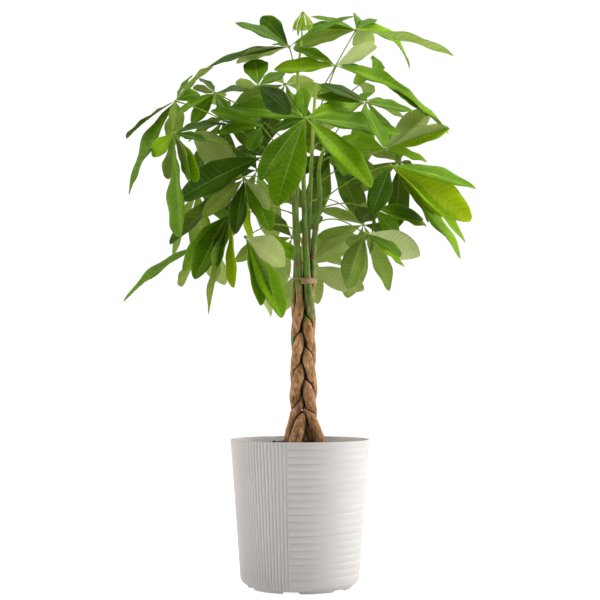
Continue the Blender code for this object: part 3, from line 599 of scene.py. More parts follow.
# %% Potting mix finish
soil_finish, tree, shader = new_material("potting_mix", 0.95)
cells = add(tree, "ShaderNodeTexVoronoi", {"Vector": own_place(tree), "Scale": 420.0}).outputs["Color"]
pick = add(tree, "ShaderNodeSeparateColor", {0: cells}).outputs[0]
earth = ramp(tree, pick, [(0.0, (0.012, 0.009, 0.007)), (0.5, (0.032, 0.022, 0.015)),
                          (0.82, (0.075, 0.048, 0.03)), (0.94, (0.14, 0.10, 0.065)),
                          (0.985, (0.42, 0.38, 0.32))])
damp = mottled(tree, 0.02, 1.4)
wet = step(tree, damp, 0.4, 0.7, 0.0, 0.6)
feed(shader, "Base Color", blend(tree, wet, earth, (0.014, 0.010, 0.008)))
feed(shader, "Normal", bump(tree, mottled(tree, 0.0015, 1.5), 0.7, 0.0012))
dress(finished(bm, "potting_mix", soil_finish), "soil", "soil")

# %% [markdown]
# ## The plaited trunks
# Five strands are plaited around a common axis. Seen from the front, each strand climbs from one side to
# the middle, dives behind the others and comes back. The path of each strand is a rule, the same one that
# shaped the solid rods, so the finished strands lie exactly on them.

# %% Sizes of the trunks
STEM_FOOT = 0.212
SOIL_LEVEL = 0.262
STEM_FEET = [(-0.0095, -0.0215), (0.020, 0.0215), (0.035, -0.0115), (0.0095, 0.0005), (-0.0185, 0.0145)]
BRAID_TOP = 0.497
BRAID_LOOSE = 0.40
BRAID_PITCH = 0.294
BRAID_NODE = 0.439
BRAID_WIDE = 0.0138
BRAID_AXIS = 0.0062
KNEE = 0.375
STRAIGHTEN = 0.65
STEM_RADII = [(0.21, 0.0088), (0.262, 0.0089), (0.30, 0.0079), (0.342, 0.0070), (0.38, 0.0063),
              (0.42, 0.0061), (0.52, 0.0060), (0.59, 0.0057), (0.645, 0.0049), (0.71, 0.0039),
              (0.80, 0.0029), (0.93, 0.0023), (1.01, 0.0016)]
SHOOTS = [
    [(-0.0055, 0.008, 0.59), (-0.0055, 0.014, 0.645), (-0.007, 0.026, 0.709), (0, 0.040, 0.80),
     (0, 0.050, 0.874)],
    [(-0.0028, -0.0065, 0.59), (-0.0075, -0.009, 0.645), (-0.011, -0.013, 0.709), (-0.013, -0.015, 0.773)],
    [(0.0225, 0.001, 0.59), (0.0275, 0.002, 0.645), (0.037, 0, 0.709), (0.035, 0.004, 0.765),
     (0.048, 0.010, 0.819)],
    [(0.0123, -0.008, 0.59), (0.009, -0.008, 0.645), (0.0065, -0.006, 0.746), (0.002, -0.004, 0.856),
     (-0.0045, 0, 0.930), (0.004, 0, 1.010)],
    [(0.012, 0.0075, 0.59), (0.015, 0.008, 0.654), (0.020, 0.008, 0.746), (0.024, 0.005, 0.838),
     (0.0295, 0.002, 0.922)],
]
print("trunks:", len(STEM_FEET), "plaited from", SOIL_LEVEL, "m to", BRAID_TOP, "m")


# %% Trunk paths
def braid_point(index, height):
    eased = height
    if height > BRAID_TOP:
        eased = BRAID_TOP + 0.02 * (1 - exp((BRAID_TOP - height) / 0.02))
    phase = tau * ((eased - BRAID_NODE) / BRAID_PITCH + index / 5) + pi
    loose = smooth(BRAID_LOOSE - height, 0.0, 0.12)
    return Vector((BRAID_AXIS + BRAID_WIDE * (1 + 0.5 * loose) * sin(phase),
                   BRAID_WIDE * (1 + 0.3 * loose) * sin(2 * phase), height))


def catmull(points, spacing):
    """Points every so often along a smooth curve through the given points."""
    knots = [2 * points[0] - points[1], *points, 2 * points[-1] - points[-2]]
    places = [points[0]]
    for p0, p1, p2, p3 in zip(knots, knots[1:], knots[2:], knots[3:]):
        count = max(1, round((p2 - p1).length / spacing))
        for k in range(1, count + 1):
            t = k / count
            places.append(0.5 * (2 * p1 + (p2 - p0) * t + (2 * p0 - 5 * p1 + 4 * p2 - p3) * t * t
                                 + (3 * p1 - p0 - 3 * p2 + p3) * t ** 3))
    return places


def stem_path(index, rise=0.0135, spacing=0.03):
    foot = braid_point(index, SOIL_LEVEL)
    shift = Vector((STEM_FEET[index][0] - foot.x, STEM_FEET[index][1] - foot.y, 0))
    lean = (braid_point(index, SOIL_LEVEL + 0.01) - foot) / 0.01
    path = [foot + shift + lean * (STEM_FOOT - SOIL_LEVEL)]
    shoot = [Vector(point) for point in SHOOTS[index]]
    knee = braid_point(index, KNEE)
    height = SOIL_LEVEL - 0.008
    while height < shoot[0].z - 0.004:
        point = braid_point(index, height) + shift * (1 - smooth(height, SOIL_LEVEL, 0.345))
        spread = (foot + shift).lerp(knee, (height - SOIL_LEVEL) / (KNEE - SOIL_LEVEL))
        point = point.lerp(spread, STRAIGHTEN * (1 - smooth(height, SOIL_LEVEL + 0.03, KNEE)))
        straight = shoot[0] + (height - shoot[0].z) * UP
        path.append(point.lerp(straight, smooth(height, BRAID_TOP + 0.005, 0.580)))
        height += rise
    return path + catmull(shoot, spacing)


def stem_radius(height, tip):
    return lookup(STEM_RADII, height) * (1 - 0.25 * smooth(height, tip - 0.05, tip))


def stem_at(path, height):
    k = min(max(bisect_left(path, height, key=lambda point: point.z), 1), len(path) - 1)
    low, high = path[k - 1], path[k]
    return low.lerp(high, min(max((height - low.z) / (high.z - low.z), 0.0), 1.0))


plain_paths = [stem_path(index) for index in range(5)]
print("trunk tips:", [round(path[-1].z, 3) for path in plain_paths], "m above the floor")

# %% [markdown]
# Old wood is tan and pitted, with a slight swelling every few centimetres where a leaf once sat. Higher up
# the bark is young and green, and the old leaf joints are brown rings. The strands have grown against each
# other, so each one is pressed flat where it meets a neighbour, halfway between their middles. The
# swellings and pits are modelled by moving each vertex in or out. A vertex attribute keeps how green, how
# ringed and how young the bark is there, and how much painted shade it takes from a nearby strand.

# %% Sizes of the bark
STEM_SIDES = 20
CREASE = 0.0003
ROUNDED = 0.0045
PLUMP = [(0.212, 1.26), (0.27, 1.30), (0.32, 1.48), (0.36, 1.57), (0.42, 1.54), (0.50, 1.46), (0.56, 1.32),
         (0.60, 1.1), (0.80, 1.15), (0.93, 1.3), (1.05, 1.4)]
GREEN_FROM = (0.545, 0.535, 0.56, 0.492, 0.565)
SCARS = [(0.598, 0.66, 0.71, 0.77), (0.588, 0.628, 0.66, 0.70, 0.745), (0.603, 0.652, 0.70, 0.76),
         (0.628, 0.69, 0.75, 0.82, 0.90), (0.612, 0.66, 0.72, 0.79, 0.85)]
print("scars:", sum(map(len, SCARS)), "rings on", len(SCARS), "trunks")


# %% Press a strand against its neighbours
def pressed(centre, out, reach, others):
    """How far a strand reaches one way before it meets a neighbour halfway, and how near that is."""
    spare = 1.0
    for other in others:
        apart = (other - centre).xy
        facing = out.xy.dot(apart)
        if facing > 1e-6:
            wall = apart.length_squared / (2 * facing) - CREASE
            share = min(max((wall - reach) / ROUNDED, -1), 1)
            spare = min(spare, wall - reach)
            reach = min(reach, wall) - ROUNDED * (1 - abs(share)) ** 2 / 4
    return reach, spare


# %% Swell, pit and tint a strand, and paint shade in its creases
KNOTS_BELOW = 0.5
PRESSED_BELOW = 0.62


def bark_skin(index, bm):
    """Swell, press, pit and tint one strand, and paint shade in its creases."""
    path = stem_path(index, rise=0.0032, spacing=0.0036)
    rest = [other for k, other in enumerate(plain_paths) if k != index]
    tip = path[-1].z
    random.seed(60 + index)
    knots = [STEM_FOOT + 0.03 + 0.036 * k + random.uniform(-0.009, 0.009) for k in range(9)]
    radii = []
    for point in path:
        knot = max(exp(-((point.z - height) / 0.0042) ** 2) for height in knots)
        scar = max(exp(-((point.z - height) / 0.0022) ** 2) for height in SCARS[index])
        girth = stem_radius(point.z, tip) * lookup(PLUMP, point.z)
        radii.append(girth + 0.0006 * knot * (point.z < KNOTS_BELOW) + 0.0005 * scar)
    tint_and_crease_shade = bm.verts.layers.float_color.new("bark")
    for vertex in rod(bm, path, radii, STEM_SIDES):
        height = vertex.co.z
        centre = stem_at(path, height)
        offset = vertex.co - centre
        if offset.length < 1e-5:
            continue
        out = offset.normalized()
        grain = Vector((vertex.co.x * 240, vertex.co.y * 240, height * 60 + index * 9))
        old = 1 - smooth(height, GREEN_FROM[index] - 0.02, GREEN_FROM[index] + 0.03)
        reach = offset.length + old * (0.0005 * noise.noise(grain) + 0.0003 * noise.noise(grain * 2.7))
        spare = 1.0
        if height < PRESSED_BELOW:
            reach, spare = pressed(centre, out, reach, [stem_at(other, height) for other in rest])
        vertex.co = centre + out * max(reach, 0.001)
        patch = noise.noise(vertex.co * 38 + Vector((0, 0, index * 3.1)))
        green = max(1 - old, 0.8 * smooth(patch, 0.26, 0.42) * smooth(height, 0.33, 0.42))
        first = SCARS[index][0]
        scar = max(exp(-((height - ring) / (0.0085 if ring == first else 0.0032)) ** 4)
                   for ring in SCARS[index])
        # Painted shade: the nearer a neighbouring strand lies, the darker the bark, darkest in the creases.
        painted_crease_shade = (1 - smooth(spare, -0.0016, 0.0095)) ** 1.5
        vertex[tint_and_crease_shade] = (green, scar, painted_crease_shade, smooth(height, 0.68, 0.88))


# %% [markdown]
# The bark's colour goes from dark pits through tan to pale flecks, drawn out along the strand. Short
# raised flecks, the pores of young bark, are lighter than the rest. The creases between strands, and the
# bark close to them, are painted nearly black as shade.

# %% Bark finish
WOOD_TONES = [(0.32, (0.10, 0.038, 0.012)), (0.44, (0.34, 0.158, 0.055)), (0.55, (0.60, 0.32, 0.135)),
              (0.67, (0.92, 0.62, 0.37))]
YOUNG_TONES = [(0.3, (0.06, 0.12, 0.012)), (0.5, (0.14, 0.25, 0.022)), (0.70, (0.28, 0.40, 0.06))]
bark, tree, shader = new_material("bark", 0.72)
told = add(tree, "ShaderNodeAttribute", attribute_name="bark").outputs
green, ringed, painted_crease_shade = add(tree, "ShaderNodeSeparateColor", {0: told["Color"]}).outputs
grain = fibrous(tree, 0.0026, 6.0)
coarse = mottled(tree, 0.011, 1.5)
streak = fibrous(tree, 0.008, 3.5)
patches = maths(tree, "ADD", times(tree, coarse, 0.2), times(tree, streak, 0.35))
both = maths(tree, "ADD", times(tree, grain, 0.45), patches)
young = blend(tree, told["Alpha"], ramp(tree, both, YOUNG_TONES), (0.58, 0.80, 0.10))
skin = blend(tree, green, ramp(tree, both, WOOD_TONES), young)
worn = times(tree, ringed, step(tree, coarse, 0.35, 0.65, 0.25, 0.9))
skin = blend(tree, worn, skin, (0.25, 0.125, 0.050))
# Painted shade: the bark goes nearly black in and near the creases between strands.
skin = blend(tree, painted_crease_shade, skin, (0.016, 0.008, 0.004))
pores = add(tree, "ShaderNodeTexVoronoi", {"Vector": own_place(tree), "Scale": 330.0}).outputs["Distance"]
fleck = step(tree, pores, 0.16, 0.3, 0.45, 0.0)
feed(shader, "Base Color", blend(tree, fleck, skin, (0.50, 0.38, 0.25)))
feed(shader, "Roughness", step(tree, green, 0.0, 1.0, 0.78, 0.5))
relief = maths(tree, "ADD", grain, times(tree, fleck, 0.5))
feed(shader, "Normal", bump(tree, relief, 0.55, 0.0011))
for index in range(5):
    bm = bmesh.new()
    bark_skin(index, bm)
    dress(finished(bm, f"strand_{index + 1}", bark), "bark", f"stem_{index + 1}")

# %% [markdown]
# ## The tie
# Where the plait ends, a strand of raffia holds the trunks together: two thin turns that cross, a flat lap
# over the front right and a curled loose end. A taut string around round trunks follows their convex hull,
# so the path is the hull of the trunks' outlines at that height.

# %% Raffia tie
TIE_HEIGHT = 0.5575
TIE_BAND = 0.0085
TIE_CORD = 0.0008
CORDS = ((0.0030, 0.0), (0.0010, -0.10))
CORD_GAP = 0.0009
CORD_STEPS = 96


def wrap(height, margin, laps):
    """The loop that a string takes around the trunks at a height."""
    ring = []
    for path in plain_paths:
        centre = stem_at(path, height)
        reach = stem_radius(height, 1) * lookup(PLUMP, height) + margin
        for k in range(24):
            turn = tau * k / 24
            ring.append(Vector((centre.x + reach * cos(turn), centre.y + reach * sin(turn))))
    hull = [ring[k] for k in convex_hull_2d(ring)]
    hull.append(hull[0])
    pace = sum((b - a).length for a, b in zip(hull, hull[1:])) / laps
    loop = []
    walked = 0.0
    for a, b in zip(hull, hull[1:]):
        length = (b - a).length
        while len(loop) < laps and len(loop) * pace <= walked + length:
            spot = a.lerp(b, (len(loop) * pace - walked) / length)
            loop.append(Vector((spot.x, spot.y, height)))
        walked += length
    return loop


bm = bmesh.new()
for lift, tilt in CORDS:
    loop = wrap(TIE_HEIGHT + lift, TIE_CORD + CORD_GAP, CORD_STEPS)
    for k, spot in enumerate(loop):
        spot.z += tilt * (spot.x - BRAID_AXIS) + 0.0002 * sin(k * 1.3)
    rod(bm, loop + loop[:2], [TIE_CORD * (1 + 0.12 * sin(k * 2.1)) for k in range(CORD_STEPS + 2)], 8)
print("cords:", len(CORDS), "turns,", len(bm.faces), "faces")

# %% [markdown]
# The flat lap is a strip cut from a grid. Its long threads are raised by moving every other row of
# vertices, and it gets its thickness before it joins the cords.

# %% Flat lap
LAP_FROM = -110
LAP_SPAN = 112
LAP_ROWS = 10
middle = Vector((0.008, 0.0, TIE_HEIGHT))
loop = wrap(TIE_HEIGHT, TIE_CORD + 0.0016, 120)
turned = sorted(((bearing(spot - middle) - LAP_FROM) % 360, spot) for spot in loop)
lap = [spot for turn, spot in turned if turn < LAP_SPAN]
strip = bmesh.new()
bmesh.ops.create_grid(strip, x_segments=len(lap) - 1, y_segments=LAP_ROWS, size=1)
for vertex in strip.verts:
    along = (vertex.co.x + 1) / 2 * (len(lap) - 1)
    spot = lap[round(along)]
    out = Vector((spot.x - middle.x, spot.y - middle.y, 0)).normalized()
    row = round((vertex.co.y + 1) / 2 * LAP_ROWS)
    fray = 0.0006 * noise.noise(Vector((along * 0.3, row, 0)))
    drop = -0.0026 + 0.05 * (spot.x - BRAID_AXIS)
    vertex.co = spot + out * (0.0004 if row % 2 else 0.0) + UP * (vertex.co.y * TIE_BAND / 2 + fray + drop)
bmesh.ops.solidify(strip, geom=strip.faces[:], thickness=0.0006)
joined = bpy.data.meshes.new("lap")
strip.to_mesh(joined)
strip.free()
bm.from_mesh(joined)
print("lap:", len(lap), "steps long,", TIE_BAND * 1000, "mm wide")

# %% [markdown]
# The loose end starts at the leftmost point of the upper turn, climbs beside the trunk and curls over.
# Raffia is a dried palm leaf, so its finish is matte straw, streaked darker and paler.

# %% Loose end and raffia finish
CURL = [(0, 0, 0), (-0.0035, -0.002, 0.004), (-0.0065, -0.003, 0.012), (-0.0068, -0.003, 0.020),
        (-0.003, -0.004, 0.0262), (0.0, -0.0075, 0.0245)]
left = min(wrap(TIE_HEIGHT + CORDS[0][0], TIE_CORD + CORD_GAP, CORD_STEPS), key=lambda spot: spot.x)
curl = catmull([left + Vector(step_on) for step_on in CURL], 0.0014)
rod(bm, curl, [mix(TIE_CORD, 0.0005, k / len(curl)) for k in range(len(curl))], 8)
bmesh.ops.recalc_face_normals(bm, faces=bm.faces)

raffia, tree, shader = new_material("raffia", 0.7)
threads = mottled(tree, 0.0016, 1.6)
STRAW = [(0.25, (0.24, 0.12, 0.055)), (0.5, (0.52, 0.31, 0.16)), (0.75, (0.80, 0.56, 0.34))]
feed(shader, "Base Color", ramp(tree, threads, STRAW))
feed(shader, "Normal", bump(tree, threads, 0.5, 0.0006))
dress(finished(bm, "raffia_tie", raffia), "raffia", "tie")

# %% [markdown]
# ## The fans of leaflets
# A frond is a long stalk with a small knuckle at its end, from which the leaflets spread like fingers. The
# table below repeats the solid model's own, in millimetres and degrees: the trunk that a stalk grows from,
# the height of its root, the knuckle, the lean and facing of the fan, the droop of its leaflets, and for
# each leaflet its azimuth, rise and length, with its own roll and droop where they differ. The fans behind
# have no list: they are full wheels. The tones of the leaflets are added here, in hundredths: 0 is the
# darkest green and 100 the palest yellow green. A tone is partly age, old leaflets dark and young ones
# yellow, and partly painted light and shade: a leaflet that is lit or glows from behind is given a paler
# tone, one that lies in shade a darker one.

# %% Table of fronds
STALK_GAP = 0.0003
STALK_RADIUS = 0.0013
STALK_SEAT = 0.0004
HUB_RADIUS = 0.0036
HUB_DEPTH = 0.0034
HUB_SQUASH = 0.62
BLADE_WIDTH = 0.37
BLADE_FOLD = 14

# Each row: trunk, height of the root, knuckle, lean, facing, droop, tones (age and painted light and
# shade), leaflets
FRONDS = [
    (3, 735, (10, -130, 835), 58, -92, 20, (42, 48, 62, 50, 62, 48, 34, 30),
     [(150, 20, 165, -5), (95, 50, 95, -30), (25, 25, 115, 10), (5, 0, 170, -5), (-20, -40, 175, -15),
      (-145, -65, 170, -25), (-145, -45, 150, 15), (135, 0, 90, -20)]),
    (3, 942, (-20, -30, 985), 40, -110, 25, (25, 30, 18, 85, 38, 30),
     [(135, 50, 100, -40), (165, 35, 115, 10), (165, 0, 165, 5), (155, 0, 110, 55), (5, 35, 135, -10),
      (125, 25, 55, 5)]),
    (4, 900, (105, 30, 1030), 35, -80, 25, (70, 42, 38, 36, 36, 60, 78, 80),
     [(165, 15, 120, -10), (160, 0, 125, 55), (160, 30, 95), (85, 40, 85, 55), (55, 35, 80, -5),
      (35, 15, 155, 25, 90), (-5, -5, 190, -35), (75, 5, 125, -50)]),
    (4, 856, (65, -50, 945), 50, -95, 25, (50, 70, 48, 92),
     [(155, 35, 95, 5), (150, 10, 115, -15), (25, -10, 150, 5), (35, 35, 105, -100)]),
    (4, 840, (135, -20, 935), 50, -60, 30, (52, 75, 30, 58, 65, 60),
     [(80, 45, 95, 30), (115, 15, 80, -110), (150, 45, 95, 15), (20, 0, 145, -10), (15, -15, 200, -5),
      (40, -10, 150, 10)]),
    (2, 790, (110, -115, 865), 50, -80, 25, (34, 38, 18, 45, 40),
     [(80, 35, 65, -25), (20, 5, 100), (150, 35, 95), (145, 15, 90, -40), (-70, -35, 135, -35)]),
    (2, 742, (160, 30, 805), 50, -60, 25, (88, 78, 80, 72, 66, 45),
     [(30, 45, 135, -160), (10, 35, 130, -95), (15, 10, 130, -5, -20), (25, 0, 90, 5), (135, 25, 110, -60),
      (90, 10, 120)]),
    (2, 705, (165, -40, 765), 55, -60, 20, (97, 52, 70, 20, 70, 8),
     [(10, -25, 180, 55), (10, -5, 165, -10), (15, -45, 215, -10), (-125, -50, 115), (-5, -40, 195, -20),
      (30, -40, 140, -50)]),
    (2, 665, (115, -100, 635), 60, -80, 20, (28, 92, 35, 65, 35),
     [(-115, -45, 130, 180), (40, -5, 140, -140), (-50, -20, 100, -20), (20, -30, 95, -15), (100, 0, 110)]),
    (0, 655, (10, 80, 590), 75, -85, 15, (62, 85, 60, 72, 45),
     [(15, 35, 120, -175), (5, -15, 120, -175), (165, 45, 80), (-145, -55, 100, 180), (95, -20, 110)]),
    (0, 800, (-160, 50, 915), 35, -150, 25, (45, 40, 36, 30, 10, 15, 75),
     [(165, -15, 85, -35), (140, -30, 80, -110), (140, 25, 60, 90), (-55, -40, 75, -20), (20, 20, 95, 30),
      (120, 40, 75, 50), (90, 10, 110)]),
    (1, 755, (-225, -55, 880), 50, -130, 30, (40, 20, 35, 42, 60, 35, 50),
     [(135, -35, 210, -20, 40), (140, -10, 140, 15), (-90, -45, 80, 110), (60, 30, 80, 80),
      (40, 50, 110, -45), (60, 55, 75, -20), (95, -15, 130)]),
    (1, 735, (-225, -90, 815), 55, -120, 25, (74, 46, 62, 68, 12, 22, 35),
     [(125, -10, 85, -90), (-75, -65, 205, 60), (-55, -55, 110, -140), (-40, -50, 110, 60),
      (40, 30, 125, 5), (-30, -5, 70, -10), (100, -25, 120)]),
    (1, 715, (-65, -110, 770), 55, -120, 15, (12, 28),
     [(155, -15, 185, -30), (120, 20, 90)]),
    (1, 700, (-100, -75, 735), 58, -110, 20, (90, 16, 40, 92, 88, 45, 20),
     [(140, 55, 160, 180), (-115, -70, 105, 10), (-30, -55, 110, -20), (-35, -40, 80, -150),
      (-55, -75, 115, 85), (175, -35, 100, 120), (165, -30, 185, 65)]),
    (1, 680, (-125, -30, 680), 58, -110, 25, (32, 50, 100, 45, 50, 35, 35),
     [(-165, -55, 140, -20), (165, -40, 140, -15), (-80, -70, 145, 70), (-135, -70, 195, 85),
      (-130, -65, 110, 30), (-145, -60, 100, 95), (100, -30, 120)]),
    (1, 650, (-95, -135, 625), 58, -100, 20, (52, 52, 85, 75),
     [(-55, -65, 130, -65), (-40, -55, 165, -45), (-55, -15, 135, -155), (-35, -65, 150, -130)]),
    (3, 840, (-75, -90, 900), 50, -100, 20, (36, 66, 35, 6),
     [(95, 40, 130), (135, 20, 60, 100), (35, 35, 65, 25), (-55, -25, 120, 40)]),
    (0, 705, (-185, 10, 625), 50, -130, 25, (40, 45, 75),
     [(165, -20, 185, 10, 35), (110, -20, 140), (60, -30, 110)]),
    (2, 690, (135, -45, 685), 60, -60, 25, (42, 60, 42, 35, 6),
     [(55, -20, 100, 70), (35, 0, 125, -5), (35, 5, 115), (-135, -50, 120, -90), (100, 5, 120)]),
    (1, 770, (-70, -50, 835), 50, -110, 20, (58, 55, 38, 10, 35),
     [(160, 15, 105), (165, 0, 115, -5), (-110, -35, 80, -35), (60, 60, 80, 10), (110, 20, 110)]),
    (4, 765, (60, 40, 805), 55, -80, 20, (10, 42, 16, 65, 30, 35),
     [(65, -15, 115, 120), (-75, -50, 95, -25), (-125, -30, 100, -25), (35, 30, 70, 5), (120, 50, 70, -10),
      (85, 0, 110)]),
    (0, 860, (130, 170, 925), 45, 50, 35, (70, 70, 55, 65, 78, 40), None),
    (0, 868, (-30, 190, 960), 40, 95, 35, (80, 75, 42, 8, 40), None),
    (0, 845, (-150, 160, 885), 50, 135, 35, (25, 22, 20, 28, 25), None),
    (2, 780, (195, 150, 800), 55, 35, 35, (38, 35, 30, 12, 38, 60), None),
    (4, 800, (60, 200, 820), 55, 75, 35, (38, 40, 28, 30, 15, 20), None),
    (0, 760, (-85, 200, 790), 55, 110, 35, (28, 35, 75, 38, 4, 2), None),
    (0, 735, (-200, 150, 745), 58, 145, 35, (38, 22, 52, 60, 38), None),
    (4, 705, (125, 190, 680), 60, 55, 35, (45, 15, 60, 60, 60, 52), None),
    (0, 690, (-15, 190, 655), 60, 92, 35, (30, 60, 70, 75, 45, 18), None),
]
WHEEL_BLADES = 6
WHEEL_SPAN = 292
WHEEL_LENGTH = 150
WHEEL_CUP = 16

# %% [markdown]
# A fan is a plane that leans forward. Its leaflets are given by compass directions, so two helpers turn
# angles into directions. The fans at the back, which are hardly seen, are filled by rule.


# %% Directions of a fan
def heading(azimuth, rise):
    turn, tilt = radians(azimuth), radians(rise)
    return Vector((cos(turn) * cos(tilt), sin(turn) * cos(tilt), sin(tilt)))


def fan_frame(lean, facing):
    """The way a fan's upper side looks, and the two directions of its plane: outwards and sideways."""
    out, tilt = heading(facing, 0), radians(lean)
    normal = out * sin(tilt) + UP * cos(tilt)
    along = out * cos(tilt) - UP * sin(tilt)
    return normal, along, normal.cross(along)


def wheel(name, lean, facing):
    """Leaflets set around the knuckle by rule, the outermost the longest."""
    normal, along, across = fan_frame(lean, facing)
    blades = []
    for k in range(WHEEL_BLADES):
        draw = random.Random(f"{name} {k}")
        share = k / (WHEEL_BLADES - 1) * 2 - 1
        turn = radians(WHEEL_SPAN / 2 * share + draw.uniform(-5, 5))
        cup = radians(WHEEL_CUP + draw.uniform(-6, 6))
        way = (along * cos(turn) + across * sin(turn)) * cos(cup) - normal * sin(cup)
        length = WHEEL_LENGTH * (1 - 0.38 * abs(share) ** 1.5) * draw.uniform(0.92, 1.06)
        blades.append((bearing(way), degrees(asin(way.z)), length))
    return blades


print("fronds:", len(FRONDS), "of which", sum(row[-1] is None for row in FRONDS), "full wheels")


# %% [markdown]
# ## One leaflet
# A leaflet is a grid of squares, bent by one function of how far along and how far across each corner
# lies. The midrib droops more towards the tip, and each half folds up from it and arches down again to its
# edge. Between its side veins the blade is quilted, which is what makes the highlights on a money tree
# ripple. The edge waves and is a little uneven. The solid blade's arch is flattened by about half, with
# its root and tip kept in place.


# %% Midrib and outline of a leaflet
BLADE_STEPS = 24


def midrib(root, azimuth, rise, length, droop, steps=BLADE_STEPS):
    """Places along a leaflet's midrib and the slope at each."""
    level = heading(azimuth, 0)
    start = radians(rise)
    bend = radians(droop) * cos(start)
    place = root.copy()
    ribs = [(place.copy(), start)]
    for k in range(1, steps + 1):
        tilt = start - bend * ((k - 0.5) / steps) ** 1.2
        place = place + (level * cos(tilt) + UP * sin(tilt)) * (length / steps)
        ribs.append((place.copy(), start - bend * (k / steps) ** 1.2))
    return ribs


def half_width(share, length, width):
    """Half a leaflet's width: a short stub, broadest past the middle, then a short point."""
    if not 0 < share < 1:
        return 0.0
    blunt = mix(0.95, 0.62, smooth(share, 0.3, 0.7))
    return max(width / 2 * length * sin(pi * share ** 1.3) ** blunt, 0.0011 * (share < 0.2))


# %% Lay one leaflet
FLATTEN = 0.55
ALONG = 60
ACROSS = 8


def lay_leaflet(bm, layer, root, blade, droop, normal, tone, seed, width=BLADE_WIDTH, fold=BLADE_FOLD):
    """Add one leaflet to a bmesh, its upper side up."""
    azimuth, rise, length, roll = blade
    draw = random.Random(seed)
    level = heading(azimuth, 0)
    side = Vector((level.y, -level.x, 0))
    start = radians(rise)
    first = side.cross(level * cos(start) + UP * sin(start))
    turn = atan2(normal.dot(side), normal.dot(first)) + radians(roll)
    ribs = midrib(root, azimuth, rise, length, droop, ALONG)
    calm = FLATTEN if droop < 50 else 0.0
    chord = ribs[-1][0] - root
    level_tilt = atan2(chord.z, chord.dot(level))
    ribs = [(place.lerp(root + chord * k / ALONG, calm), mix(tilt, level_tilt, calm))
            for k, (place, tilt) in enumerate(ribs)]
    wave, phase = draw.uniform(0.6, 1.5), draw.uniform(0, 6)
    quilt = 0.0046 * length * draw.uniform(0.5, 1.8) * (1.4 if tone < 0.12 else 1)
    sway = draw.uniform(-1, 1) * 0.010 * length
    frames = []
    for k, (place, tilt) in enumerate(ribs):
        share = k / ALONG
        ahead = level * cos(tilt) + UP * sin(tilt)
        raised = side.cross(ahead)
        swing = turn * (1 - 0.3 * share)
        frames.append((share, place, side * cos(swing) - raised * sin(swing),
                       raised * cos(swing) + side * sin(swing), half_width(share, length, width)))
    grid = bmesh.ops.create_grid(bm, x_segments=ACROSS, y_segments=ALONG, size=1, calc_uvs=True)
    slope = sin(radians(fold))
    for vertex in grid["verts"]:
        share, place, across, upper, half = frames[round((vertex.co.y + 1) / 2 * ALONG)]
        reach = vertex.co.x
        out = abs(reach)
        lift = half * (slope * out * 1.25 - slope * 0.45 * out ** 3)
        beat = (share - VEIN_SLANT * out ** VEIN_BEND) * VEIN_PAIRS
        puff = abs(sin(pi * beat)) ** 0.8 * sin(pi * min(1.0, out * 0.9 + 0.1)) ** 0.6
        lift += quilt * puff * sin(pi * share) ** 0.7
        lift += 0.07 * half * out ** 3 * wave * sin(tau * (2.6 * share + 0.1 * reach) + phase)
        nick = noise.noise(Vector((share * 5, 3 * (reach > 0), phase * 5)))
        folded = cos(radians(fold) * (0.7 + 0.3 * out))
        spread = reach * half * (1 + 0.06 * nick * out ** 2) * folded
        bow = sway * sin(pi * share)
        vertex.co = place + across * (spread + bow) + upper * lift
        vertex[layer] = tone


# %% [markdown]
# Leaflets must pass one another without touching. In the solid model a leaflet that met a neighbour was
# given a small turn or was trimmed, and the finished leaflet has to follow. The next cell recovers those
# turns. It measures from each candidate tip to the nearest corner of the solid frond, and accepts the
# first that is closer than a blade is thick.

# %% Recover each leaflet's turn
# Each turn: azimuth, rise and roll in degrees
TURNS = [(0, 0, 0), (6, 0, 0), (-6, 0, 0), (0, 6, 0), (0, -6, 0), (6, 6, 0), (-6, 6, 0), (12, 0, 0),
         (0, 12, 0), (0, -12, 0), (8, 8, 25), (18, 0, 0), (0, 20, 0), (14, -14, 20), (-14, -14, -20),
         (20, -20, 0)]
TRIMS = (1.0, 0.72)
ROOT_REACH = 0.0012
CLOSE = 0.0007


def corners(node):
    """A search tree over the corners of a solid node."""
    points = [vertex.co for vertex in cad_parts[node].data.vertices]
    tree = KDTree(len(points))
    for k, point in enumerate(points):
        tree.insert(point, k)
    tree.balance()
    return tree


def settle(hub, blade, droop, near):
    """A leaflet as the solid model has it: its root, its own turn and length, and its droop."""
    azimuth, rise, length, roll, own_droop = (*blade, *(0, droop)[len(blade) - 3:])
    for trim in TRIMS:
        for swing, lift, twist in TURNS:
            turned = (azimuth + swing, rise + lift, length * trim / 1000)
            root = hub + heading(*turned[:2]) * ROOT_REACH
            tip = midrib(root, *turned, own_droop)[-1][0]
            if near.find(tip)[2] < CLOSE:
                return root, (*turned, roll + twist), own_droop


# %% [markdown]
# A leaf stalk starts beside its trunk, leans out and arches up to the back of its knuckle. The solid
# trunks are kept as search trees, so that the stalk's foot stands as close to the bark as the solid one's
# does.

# %% Path of a leaf stalk
STALK_ARCH = 0.16
STALK_STEPS = 22
trunk_skins = []
for index in range(5):
    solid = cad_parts[f"stem_{index + 1}"].data
    places = [vertex.co for vertex in solid.vertices]
    trunk_skins.append(BVHTree.FromPolygons(places, [tuple(face.vertices) for face in solid.polygons]))


